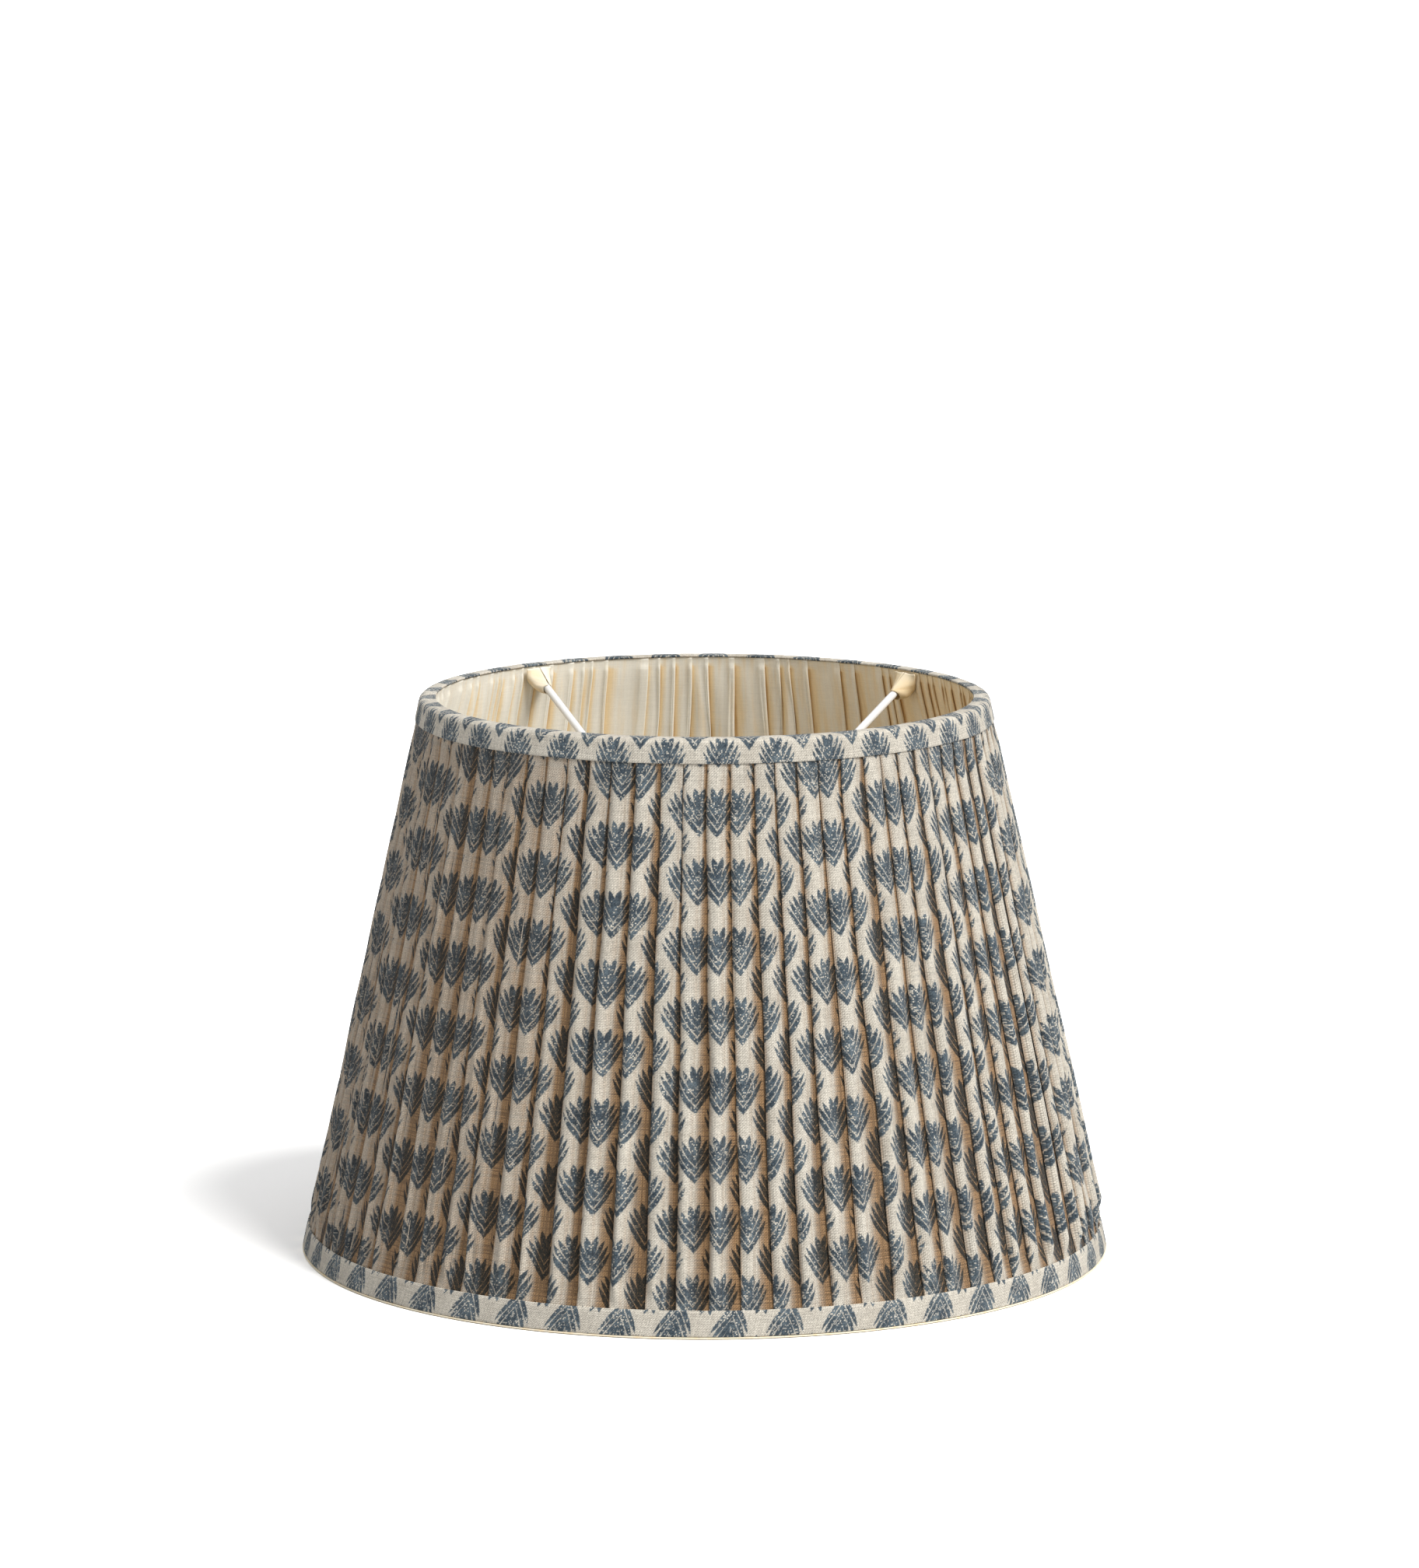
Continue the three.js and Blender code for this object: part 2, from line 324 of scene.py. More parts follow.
# %% Plain weave: threads over and under
weave, w_in, w_out = new_group(
    "plain_weave",
    [("Cloth", VECTOR, None), ("Thread Pitch", FLOAT, 0.0007),
     ("Slub", FLOAT, 0.4), ("Contrast", FLOAT, 0.05)],
    [("Height", FLOAT), ("Gap", FLOAT), ("Tone", FLOAT), ("Dark Thread", FLOAT), ("Chance", FLOAT)],
)
pitch_of = weave.join(w_in["Thread Pitch"], w_in["Thread Pitch"], 1.0)
threads = weave.vector_math("DIVIDE", w_in["Cloth"], pitch_of)
across, along, _ = weave.split(threads)
warp = weave.math("SINE", weave.math("MULTIPLY", across, math.pi))
weft = weave.math("SINE", weave.math("MULTIPLY", along, math.pi))
warp_round = weave.math("ABSOLUTE", warp)
weft_round = weave.math("ABSOLUTE", weft)
over = weave.ramp(weave.math("MULTIPLY", warp, weft), -0.15, 0.15)
lie = weave.math("ADD", weave.math("MULTIPLY", warp_round, over),
                 weave.math("MULTIPLY", weft_round, weave.math("SUBTRACT", 1.0, over)))
narrow = weave.math("MINIMUM", warp_round, weft_round)
weave.put(weave.ramp(narrow, 0.42, 0.05), w_out["Gap"])
print("weave drawn with", len(weave.tree.nodes), "nodes")

# %% Plain weave: uneven threads
warp_number = weave.math("FLOOR", across)
weft_number = weave.math("FLOOR", along)
cell = weave.join(warp_number, weft_number)
WHITE_NOISE = "ShaderNodeTexWhiteNoise"
chance = weave.node(WHITE_NOISE, {"Vector": cell}, noise_dimensions="2D").outputs[0]
warp_chance = weave.node(WHITE_NOISE, {"W": warp_number}, noise_dimensions="1D").outputs[0]
weft_chance = weave.node(WHITE_NOISE, {"W": weft_number}, noise_dimensions="1D").outputs[0]
dark_weft = weave.ramp(weft_chance, 0.55, 0.85)
dark_warp = weave.ramp(warp_chance, 0.7, 0.95)
weave.put(weave.math("MAXIMUM", dark_weft, dark_warp), w_out["Dark Thread"])
weave.put(chance, w_out["Chance"])
thread_tone = weave.math("SUBTRACT", weave.math("ADD", warp_chance, weft_chance), 1.0)
cell_tone = weave.math("MULTIPLY_ADD", thread_tone, 0.35, weave.math("SUBTRACT", chance, 0.5))
warp_slub = weave.noise(weave.vector_math("MULTIPLY", w_in["Cloth"], (1400, 70, 0)), 1.0)
weft_slub = weave.noise(weave.vector_math("MULTIPLY", w_in["Cloth"], (70, 1400, 0)), 1.0)
slub = weave.math("SUBTRACT", weave.math("ADD", warp_slub, weft_slub), 1.0)
uneven = weave.math("MULTIPLY", slub, w_in["Slub"])
weave.put(weave.math("ADD", lie, uneven), w_out["Height"])
varied = weave.math("MULTIPLY", cell_tone, w_in["Contrast"])
weave.put(weave.math("ADD", varied, weave.math("ADD", 1.0, uneven)), w_out["Tone"])
print("plain weave group:", len(weave.tree.nodes), "nodes")

# %% [markdown]
# ## The printed leaf
# The print is a small stylised leaf, standing on its tip: nested pairs of pointed strokes
# that open like arrowheads. A block printer would cut one stroke and repeat it, and so
# does this group. It measures how far a spot lies inside one tapering stroke, in
# millimetres. Using the distance from the leaf's centre line draws left and right at once.

# %% One stroke of the leaf
stroke, s_in, s_out = new_group(
    "leaf_stroke",
    [("Across", FLOAT, 0), ("Up", FLOAT, 0), ("Root", FLOAT, 0), ("Steepness", FLOAT, 1),
     ("Reach", FLOAT, 10), ("Half Width", FLOAT, 1), ("Curve", FLOAT, 0), ("Blunt", FLOAT, 0)],
    [("Inside", FLOAT)],
)
rise = stroke.math("SUBTRACT", s_in["Up"], s_in["Root"])
cos_a = stroke.math("COSINE", s_in["Steepness"])
sin_a = stroke.math("SINE", s_in["Steepness"])
run_x = stroke.math("MULTIPLY", s_in["Across"], cos_a)
run = stroke.math("DIVIDE", stroke.math("MULTIPLY_ADD", rise, sin_a, run_x), s_in["Reach"])
side_x = stroke.math("MULTIPLY", s_in["Across"], sin_a)
ahead = stroke.math("MAXIMUM", run, 0.0)
bowed = stroke.math("MULTIPLY", stroke.math("POWER", ahead, 2.0), s_in["Curve"])
level = stroke.math("SUBTRACT", stroke.math("MULTIPLY", rise, cos_a), side_x)
side = stroke.math("ABSOLUTE", stroke.math("SUBTRACT", level, bowed))
taper = stroke.math("MULTIPLY_ADD", stroke.math("POWER", ahead, 4.5), -1.25, 1.0)
swelling = stroke.math("MULTIPLY_ADD", ahead, 0.3, taper)
half = stroke.math("MULTIPLY", s_in["Half Width"], swelling)
backward = stroke.math("MAXIMUM", stroke.math("MULTIPLY", run, -1.0), 0.0)
behind = stroke.math("MULTIPLY", backward, s_in["Reach"])
rounded = stroke.math("MULTIPLY", behind, s_in["Blunt"])
stroke.put(stroke.math("SUBTRACT", stroke.math("SUBTRACT", half, side), rounded), s_out["Inside"])
print("leaf stroke group:", len(stroke.tree.nodes), "nodes")

# %% The whole leaf, from its strokes
leaf_strokes = [
    # root height, angle in degrees, reach, half width, upward curve, all in millimetres; bluntness
    (1.5, 51, 17.2, 1.06, 2.0, 0.0),
    (5.9, 53, 15.8, 1.08, 1.7, 0.0),
    (10.2, 57, 13.0, 1.12, 1.2, 0.0),
    (14.2, 76, 10.2, 1.45, 0.0, 0.8),
]
# What a spot measures where there is no stroke, in millimetres.
off_leaf = -50.0

leaf, l_in, l_out = new_group("leaf", [("Across", FLOAT, 0), ("Up", FLOAT, 0)], [("Inside", FLOAT)])
folded_across = leaf.math("ABSOLUTE", l_in["Across"])
inside = off_leaf
for root, degrees, reach, half_width, curve, blunt in leaf_strokes:
    shape = {"Reach": reach, "Half Width": half_width, "Curve": curve, "Blunt": blunt}
    start = {"Root": root, "Steepness": math.radians(degrees)}
    one = leaf.use(stroke.tree, Across=folded_across, Up=l_in["Up"], **start, **shape)
    inside = leaf.math("MAXIMUM", inside, one["Inside"])
leaf.put(inside, l_out["Inside"])
print("leaf has", len(leaf_strokes), "pairs of strokes")

# %% [markdown]
# ## The print on the cloth
# The leaves stand in a half-drop repeat, as block prints often do: every other column is
# half a repeat lower. Each spot of cloth looks at the leaf of its own column and at the
# one of the column between, and takes whichever covers it. A little noise on the measure
# makes the edge of the ink as ragged as a hand-cut block leaves it, and ink that misses
# the hollows between threads leaves cloth-coloured specks.

# %% The half-drop repeat
# In millimetres.
repeat_across = 27.6
repeat_up = 34.3
leaf_foot = 5.0

block, b_in, b_out = new_group(
    "leaf_print",
    [("Cloth", VECTOR, None), ("Chance", FLOAT, 0.5)],
    [("Ink", FLOAT), ("Depth", FLOAT)],
)
flat_mm = block.vector_math("SCALE", b_in["Cloth"])
flat_mm.node.inputs["Scale"].default_value = 1 / MM
sway_noise = block.node("ShaderNodeTexNoise", {"Vector": b_in["Cloth"], "Scale": 60.0, "Detail": 1.0})
sway = block.vector_math("SUBTRACT", sway_noise.outputs["Color"], (0.5, 0.5, 0.5))
swayed = block.vector_math("ADD", flat_mm, block.vector_math("MULTIPLY", sway, (1.6, 1.6, 0)))
cloth_x, cloth_y, _ = block.split(swayed)
covered = off_leaf
for shift_across, shift_up in ((0.0, 0.0), (0.5, 0.5)):
    column = block.math("ADD", block.math("DIVIDE", cloth_x, repeat_across), shift_across)
    row = block.math("ADD", block.math("DIVIDE", cloth_y, repeat_up), shift_up)
    in_column = block.math("SUBTRACT", block.math("FRACT", column), 0.5)
    in_row = block.math("FRACT", row)
    x_mm = block.math("MULTIPLY", in_column, repeat_across)
    y_mm = block.math("SUBTRACT", block.math("MULTIPLY", in_row, repeat_up), leaf_foot)
    covered = block.math("MAXIMUM", covered, block.use(leaf.tree, Across=x_mm, Up=y_mm)["Inside"])
print("print repeats every", repeat_across, "by", repeat_up, "mm")

# %% The ragged edge of the ink
ragged = block.math("SUBTRACT", block.noise(b_in["Cloth"], 900.0, 3.0, 0.7), 0.5)
rag = block.math("MULTIPLY", ragged, 0.85)
grain = block.math("MULTIPLY", block.math("SUBTRACT", b_in["Chance"], 0.5), 0.35)
edge = block.math("ADD", covered, block.math("ADD", rag, grain))
block.put(block.ramp(edge, -0.26, 0.26), b_out["Ink"])
block.put(block.noise(b_in["Cloth"], 130.0, 3.0, 0.6), b_out["Depth"])
print("print group:", len(block.tree.nodes), "nodes")

# %% [markdown]
# ## Printed linen
# The same cloth looks different from place to place. Where a pleat lies three layers deep,
# the linen is pale and the ink blue. Where a single layer spans the valley between two
# pleats, the light that passes through it from the warm inside is painted into its colour:
# tan, with the gaps between threads painted as a dark grid of shade, and the ink painted
# olive black by the shade behind it. The cover carries an attribute that holds this
# painted light and shade. It also paints shade on the fold edge and the edges of each
# pleat's face, and over the looser side of the shade. The bindings lie on other cloth all
# along, so they never have it.

# %% Linen's colours, weave and print
pale_linen = (0.795, 0.745, 0.645, 1)
grey_linen = (0.560, 0.500, 0.412, 1)
lit_through = (0.470, 0.275, 0.130, 1)
shade_in_thread_gaps = (0.045, 0.026, 0.012, 1)
blue_ink = (0.029, 0.052, 0.076, 1)
worn_ink = (0.155, 0.205, 0.240, 1)
shaded_valley_ink = (0.014, 0.013, 0.008, 1)

linen_finish, linen, linen_shader = new_material("printed_linen_cloth")
linen_uv = linen.node("ShaderNodeUVMap", uv_map="cloth").outputs[0]
linen_threads = {"Thread Pitch": 0.0007, "Slub": 0.42, "Contrast": 0.26}
linen_weave = linen.use(weave.tree, Cloth=linen_uv, **linen_threads)
linen_print = linen.use(block.tree, Cloth=linen_uv, Chance=linen_weave["Chance"])
print("linen thread pitch", linen_threads["Thread Pitch"] / MM, "mm")

# %% Linen where it lies folded
dusty = linen.noise(linen_uv, 45.0, 3.0)
shade_share = linen.math("ADD", linen.math("MULTIPLY", linen_weave["Gap"], 0.55),
                         linen.ramp(dusty, 0.35, 0.75, 0.0, 0.45), clamp=True)
pale = linen.colours(shade_share, pale_linen, grey_linen)
specks = linen.ramp(linen_weave["Chance"], 0.80, 0.90, 0.0, 0.85)
thin_spots = linen.ramp(linen_print["Depth"], 0.42, 0.62, 1.0, 0.4)
missed = linen.math("MULTIPLY", specks, linen.math("SUBTRACT", 1.5, thin_spots), clamp=True)
ink_on = linen.math("MULTIPLY", linen_print["Ink"], linen.math("SUBTRACT", 1.0, missed))
ink_tone = linen.math("ADD", linen.ramp(linen_print["Depth"], 0.35, 0.7, 0.0, 0.75),
                      linen.math("MULTIPLY", linen_weave["Chance"], 0.35), clamp=True)
thick_ink = linen.colours(ink_tone, blue_ink, worn_ink)
folded_cloth = linen.colours(ink_on, pale, thick_ink)
print("linen with", len(linen.tree.nodes), "nodes so far")

# %% Linen with light behind it
# Painted light and shade: tan light through one layer, dark shade in the thread gaps, near-black shaded
# ink, and shade on fold and face edges.
light_shade_mark = linen.node("ShaderNodeAttribute", attribute_name="painted_light_shade").outputs["Fac"]
gap_share = linen.math("MULTIPLY_ADD", linen_weave["Chance"], 0.5, 0.55)
grid = linen.math("MULTIPLY", linen_weave["Gap"], gap_share, clamp=True)
dark_rows = linen.math("MULTIPLY", linen_weave["Dark Thread"], 0.5)
see_through = linen.colours(linen.math("MAXIMUM", grid, dark_rows), lit_through, shade_in_thread_gaps)
ink_share = linen.math("MULTIPLY_ADD", linen_weave["Chance"], -0.3, 1.13, clamp=True)
valley_ink = linen.math("MULTIPLY", linen_print["Ink"], ink_share)
valley_cloth = linen.colours(valley_ink, see_through, shaded_valley_ink)
linen_colour = linen.colours(light_shade_mark, folded_cloth, valley_cloth)
linen_look = {"Color": linen_colour, "Value": linen_weave["Tone"]}
linen_toned = linen.node("ShaderNodeHueSaturation", linen_look)
linen.put(linen_toned.outputs[0], linen_shader["Base Color"])
linen.put(linen.ramp(linen_weave["Height"], 0.0, 1.2, 0.97, 0.82), linen_shader["Roughness"])
linen_shader["Specular IOR Level"].default_value = 0.25
linen_shader["Sheen Weight"].default_value = 0.15
linen_shader["Sheen Roughness"].default_value = 0.6
linen.put(linen.bump(linen_weave["Height"], 1.0, 0.3 * MM), linen_shader["Normal"])
print("printed linen made")

# %% [markdown]
# ## Cream cotton, white coat and cotton tape
# The lining is a finer cloth, so the same weave group is used with closer threads and
# fewer slubs. A warm glow where the lamp shines through it and orange shade in its creases
# are painted into its colour. The wire is coated with powder that flows almost smooth: a
# faint ripple, the orange peel, is its only texture. The tape on the rings is the weave
# again, on the ring's own coordinates.

# %% Cream cotton
cream_cloth = (0.955, 0.928, 0.825, 1)
lit_through_cotton = (0.950, 0.750, 0.450, 1)
crease_shade = (0.620, 0.370, 0.145, 1)

cotton_finish, cotton, cotton_shader = new_material("cream_cotton_cloth")
cotton_uv = cotton.node("ShaderNodeUVMap", uv_map="cloth").outputs[0]
cotton_threads = {"Thread Pitch": 0.0005, "Slub": 0.14, "Contrast": 0.04}
cotton_weave = cotton.use(weave.tree, Cloth=cotton_uv, **cotton_threads)
# Painted light and shade: a warm glow where the lamp shines through, orange shade in the creases. The
# streaks are random tone.
glow = cotton.node("ShaderNodeAttribute", attribute_name="painted_light_shade").outputs["Fac"]
streaks = cotton.noise(cotton.vector_math("MULTIPLY", cotton_uv, (240, 24, 0)), 1.0, 3.0)
drift = cotton.ramp(streaks, 0.4, 0.75, 0.0, 0.22)
warmth = cotton.math("ADD", cotton.math("MULTIPLY", glow, 0.85), drift, clamp=True)
warm_base = cotton.colours(cotton.ramp(warmth, 0.0, 0.6), cream_cloth, lit_through_cotton)
cotton_base = cotton.colours(cotton.ramp(warmth, 0.55, 1.0), warm_base, crease_shade)
cotton_look = {"Color": cotton_base, "Value": cotton_weave["Tone"]}
cotton_toned = cotton.node("ShaderNodeHueSaturation", cotton_look)
cotton.put(cotton_toned.outputs[0], cotton_shader["Base Color"])
cotton.put(cotton.ramp(cotton_weave["Height"], 0.0, 1.1, 0.95, 0.8), cotton_shader["Roughness"])
cotton_shader["Specular IOR Level"].default_value = 0.25
cotton_shader["Sheen Weight"].default_value = 0.1
cotton.put(cotton.bump(cotton_weave["Height"], 0.45, 0.14 * MM), cotton_shader["Normal"])
print("cream cotton made")

# %% White coat
white_coat = (0.870, 0.875, 0.880, 1)
dusty_coat = (0.740, 0.730, 0.700, 1)

coat_finish, coat, coat_shader = new_material("white_coat_paint")
coat_place = coat.node("ShaderNodeTexCoord").outputs["Object"]
peel = coat.noise(coat_place, 700.0, 2.0)
dust = coat.noise(coat_place, 35.0, 4.0, 0.6)
coat_colour = coat.colours(coat.ramp(dust, 0.45, 0.8, 0.0, 0.3), white_coat, dusty_coat)
coat.put(coat_colour, coat_shader["Base Color"])
coat.put(coat.ramp(dust, 0.3, 0.8, 0.24, 0.42), coat_shader["Roughness"])
coat_shader["Coat Weight"].default_value = 0.35
coat_shader["Coat Roughness"].default_value = 0.18
coat.put(coat.bump(peel, 0.25, 0.2 * MM), coat_shader["Normal"])
print("white coat made")

# %% Cotton tape
pale_tape = (0.78, 0.71, 0.58, 1)
tape_gap = (0.52, 0.45, 0.34, 1)

tape_finish, tape, tape_shader = new_material("cotton_tape_cloth")
tape_place = tape.node("ShaderNodeTexCoord").outputs["Object"]
tape_weave = tape.use(weave.tree, **{"Cloth": tape_place, "Thread Pitch": 0.0006, "Slub": 0.3})
tape.put(tape.colours(tape_weave["Gap"], pale_tape, tape_gap), tape_shader["Base Color"])
tape.put(tape.ramp(tape_weave["Height"], 0.0, 1.1, 0.95, 0.82), tape_shader["Roughness"])
tape_shader["Specular IOR Level"].default_value = 0.2
tape.put(tape.bump(tape_weave["Height"], 0.5, 0.2 * MM), tape_shader["Normal"])
print("cotton tape made")

# %% [markdown]
# ## How a sheet of cloth is folded here
# A pleater folds a flat sheet. So does this script: it starts from a flat grid, and a
# formula says where each column of the grid goes once the sheet is folded. The UV map
# keeps each spot's place on the flat cloth, in metres, so the print is cut and hidden by
# the folds exactly as on the real cover. A cloth simulation could not press 81 sharp
# folds, and a bump map could not hide half of each leaf under the next pleat.

# %% Make a sheet from its folded columns
def make_sheet(name, place, flat, light_shade_mark, finish, thickness, weld=False):
    """place is rows x columns x 3 points, flat rows x columns x 2 cloth measures."""
    rows, columns = light_shade_mark.shape
    mesh_maker = bmesh.new()
    bmesh.ops.create_grid(mesh_maker, x_segments=columns - 1, y_segments=rows - 1, size=0.5)
    light_shade_layer = mesh_maker.verts.layers.float.new("painted_light_shade")
    cloth_map = mesh_maker.loops.layers.uv.new("cloth")
    grid_index = {}
    for vert in mesh_maker.verts:
        column = round((vert.co.x + 0.5) * (columns - 1))
        row = round((vert.co.y + 0.5) * (rows - 1))
        grid_index[vert] = (row, column)
    for vert, (row, column) in grid_index.items():
        vert.co = place[row, column]
        vert[light_shade_layer] = light_shade_mark[row, column]
    for face in mesh_maker.faces:
        face.smooth = True
        for loop in face.loops:
            row, column = grid_index[loop.vert]
            loop[cloth_map].uv = flat[row, column]
    if weld:
        bmesh.ops.remove_doubles(mesh_maker, verts=mesh_maker.verts, dist=0.01 * MM)
    piece = finished_piece(name, mesh_maker, finish)
    body = piece.modifiers.new("thickness", "SOLIDIFY")
    body.thickness = thickness
    body.offset = 0
    print(name, "has", rows, "x", columns, "points")
    return piece


# %% Points round the axis, and lines that wander
def around_axis(radius, angle, height):
    return np.stack([radius * np.cos(angle), radius * np.sin(angle), height], axis=-1)


def wobble(source, t, cycles=4):
    """A smooth random line, about -1 to 1, along t from 0 to 1."""
    total = np.zeros_like(t)
    for cycle in range(1, cycles + 1):
        total = total + source.normal() / cycle * np.sin(2 * math.pi * (cycle * t + source.random()))
    return total * 0.75


# %% [markdown]
# ## One knife pleat
# Seen from the end, the sheet comes in from the right on the middle layer, turns round the
# outer fold, runs to the right as the face of the pleat, dips into the valley, goes on
# under the next pleat and turns back at the inner fold. The function below gives that path
# as a list of columns: how far round the wall, how high above the wall, and how far along
# the flat cloth. The tuck is whatever cloth the pitch leaves over, halved, so the pleats
# open by themselves towards the wider bottom rim.

# %% The path of one pleat
# Share of the way across the pleat's face, and how much painted shade it gets there, most near its edges.
crown_marks = (
    (0.08, 0.16), (0.2, 0.02), (0.36, 0), (0.52, 0), (0.68, 0.03), (0.82, 0.12), (0.94, 0.28),
)
# Share of the way across the valley, how far down it is, and how much painted light through one layer it
# gets.
valley_marks = ((0.0, 0.52, 0.12), (0.30, 0.85, 0.75), (0.62, 0.97, 1.0), (1.0, 1.0, 1.0))


def pleat_columns(pitch, tuck, tuck_in, tuck_out, gap, face, puff, valley_width):
    """Each argument has a value for each row. Returns columns of (round, high, along, painted light and
    shade).
    """
    bend = np.minimum((face - gap) / 2, tuck_in * 0.4)
    middle = (face + gap) / 2
    inner_bend = np.minimum(gap / 2, tuck * 0.3)
    columns = []
    for share in (1.0, 0.5, 0.12):
        place = bend + (tuck_in - inner_bend - bend) * share
        columns.append((place, gap, -place, 0 * place))
    for degrees in (-55, -15, 20, 50, 90):
        turn = math.radians(degrees)
        height = middle + (face - gap) / 2 * math.sin(turn)
        # Painted shade along the upper half of the outer fold edge.
        shade = 0.6 if degrees > 0 else 0.15
        columns.append((bend * (1 - math.cos(turn)), height, bend * turn, shade + 0 * bend))
    lead = bend * (math.pi / 2 - 1)
    crown_end = tuck - 0.2 * valley_width
    for share, light_shade_layer in crown_marks:
        place = bend + (crown_end - bend) * share
        crown = math.sin(math.pi * share ** 0.88) ** 0.85
        height = face + puff * crown - 0.45 * face * share ** 3
        columns.append((place, height, place + lead * (1 - share), light_shade_layer + 0 * place))
    for share, fall, light_shade_layer in valley_marks:
        place = mix(tuck + 0.15 * MM, pitch, share)
        height = face * 0.65 * (1 - fall)
        columns.append((place, height, place, light_shade_layer + 0 * place))
    for share in (0.35, 0.75):
        place = pitch + (tuck_out - inner_bend) * share
        columns.append((place, 0 * place, place, 0.4 + 0 * place))
    for degrees in (-60, 0, 50):
        turn = math.radians(degrees)
        place = pitch + tuck_out - inner_bend * (1 - math.cos(turn))
        height = gap / 2 * (1 + math.sin(turn))
        columns.append((place, height, pitch + tuck_out + inner_bend * turn, 0 * place))
    return columns


sample_sizes = (15 * MM, 8 * MM, 8 * MM, 8 * MM, 0.6 * MM, 1.3 * MM, 2.4 * MM, 3 * MM)
print("a pleat has", len(pleat_columns(*sample_sizes)), "columns")


# %% The fold hidden under each pleat
def hidden_folds(tucks, short):
    """Depth of the fold that hides under each pleat. It stops short of the pleat's own edge."""
    depths = []
    for index, tuck in enumerate(tucks):
        depths.append(np.minimum(tucks[index - 1], np.maximum(tuck - short, 0.2 * MM)))
    return depths


# %% [markdown]
# ## The pleated cover
# The cover is three lengths of linen, each pressed into 27 pleats and joined where the
# join hides, at the back of a fold. No two pleats are the same: their width, fullness and
# line wander a little. On one side of the shade they lie looser and flatter than on the
# other, and below, where they have the most room, small extra folds break the valleys.

# %% Rows, pitches and cloth widths
pleat_count = 81
panel_count = 3
pleats_in_panel = pleat_count // panel_count
cloth_per_pleat = 31.6 * MM
linen_thickness = 0.28 * MM
front_pleat = 61
front_leaf = 5.2 * MM
leaf_level = 179.3 * MM
seed = 7

chance_of = np.random.default_rng(seed)
cover_rows = np.concatenate([
    np.linspace(cloth_bottom + 0.9 * MM, bottom_lip - 1 * MM, 4),
    np.linspace(bottom_lip + 0.5 * MM, 45 * MM, 11),
    np.linspace(50 * MM, 255 * MM, 38),
    np.linspace(259 * MM, top_lip - 0.5 * MM, 7),
    np.linspace(top_lip + 1 * MM, cloth_top - 2.2 * MM, 4),
])
row_share = cover_rows / shade_height
pleat_widths = 1 + np.clip(chance_of.normal(0, 0.075, pleat_count), -0.16, 0.16)
pleat_widths = pleat_widths / pleat_widths.sum()
edge_angles = np.concatenate([[0], np.cumsum(pleat_widths)]) * 2 * math.pi
base_radius = wall(2 * MM, cover_rows)
edge_wander = np.stack([wobble(chance_of, row_share) for _ in range(pleat_count)])
edge_wander = 0.55 * MM * edge_wander * (0.35 + 0.65 * opening(cover_rows))
edge_wander = np.concatenate([edge_wander, edge_wander[:1]])
cloth_widths = cloth_per_pleat + np.clip(chance_of.normal(0, 1.2, pleat_count), -2.2, 2.2) * MM
cloth_marks = np.concatenate([[0], np.cumsum(cloth_widths)])
print_across = (repeat_across / 2) * MM - cloth_marks[front_pleat] - front_leaf
print_up = leaf_foot * MM - leaf_level
puff_lines = np.stack([wobble(chance_of, row_share, 3) for _ in range(pleat_count)])
fold_angles = edge_angles[:, None] + edge_wander / base_radius[None, :]
print("pleat pitch", round(2 * math.pi * base_radius[-1] / pleat_count / MM, 1), "to",
      round(2 * math.pi * base_radius[0] / pleat_count / MM, 1), "mm")

# %% Heights of the layers over the wall
valley_width = 3 * MM
stand_open = opening(cover_rows)
base_inset = mix(1.86 * MM, 2.85 * MM, stand_open)
fullness = mix(1.12, 0.50, smooth_step(cover_rows, 50 * MM, top_lip - 5 * MM))
loose_side = math.radians(206)


def looseness(angle):
    """1 on the loose side of the shade, 0 on the rest."""
    away = np.abs((angle - loose_side + math.pi) % (2 * math.pi) - math.pi)
    return 1 - smooth_step(away, math.radians(22), math.radians(54))


pleat_pitches = np.diff(fold_angles, axis=0) * base_radius
pleat_tucks = np.clip((cloth_widths[:, None] - pleat_pitches) / 2, 1 * MM, 0.95 * pleat_pitches)
pleat_folds = hidden_folds(pleat_tucks, 0.5 * MM)


def pleat(index):
    """The columns of one pleat, in metres, with the small irregularities of real cloth."""
    after = (index + 1) % pleat_count
    loose = looseness(edge_angles[index])
    gap = mix(0.36 * MM, 0.62 * MM, stand_open) * mix(1, fullness, 0.5)
    face = mix(0.72 * MM, 1.30 * MM * mix(1, fullness, 0.7) * (1 - 0.2 * loose), stand_open)
    lift = 2.45 + 0.80 * puff_lines[index] + 0.50 * chance_of.normal()
    puff = np.clip(lift, 1.0, 3.9) * MM * mix(1, fullness, 0.85) * stand_open * (1 - 0.6 * loose)
    sizes = pleat_pitches[index], pleat_tucks[index], pleat_folds[index], pleat_folds[after]
    return pleat_columns(*sizes, gap, face, puff, valley_width)


print("tucks", round(pleat_tucks.min() / MM, 1), "to", round(pleat_tucks.max() / MM, 1), "mm deep")

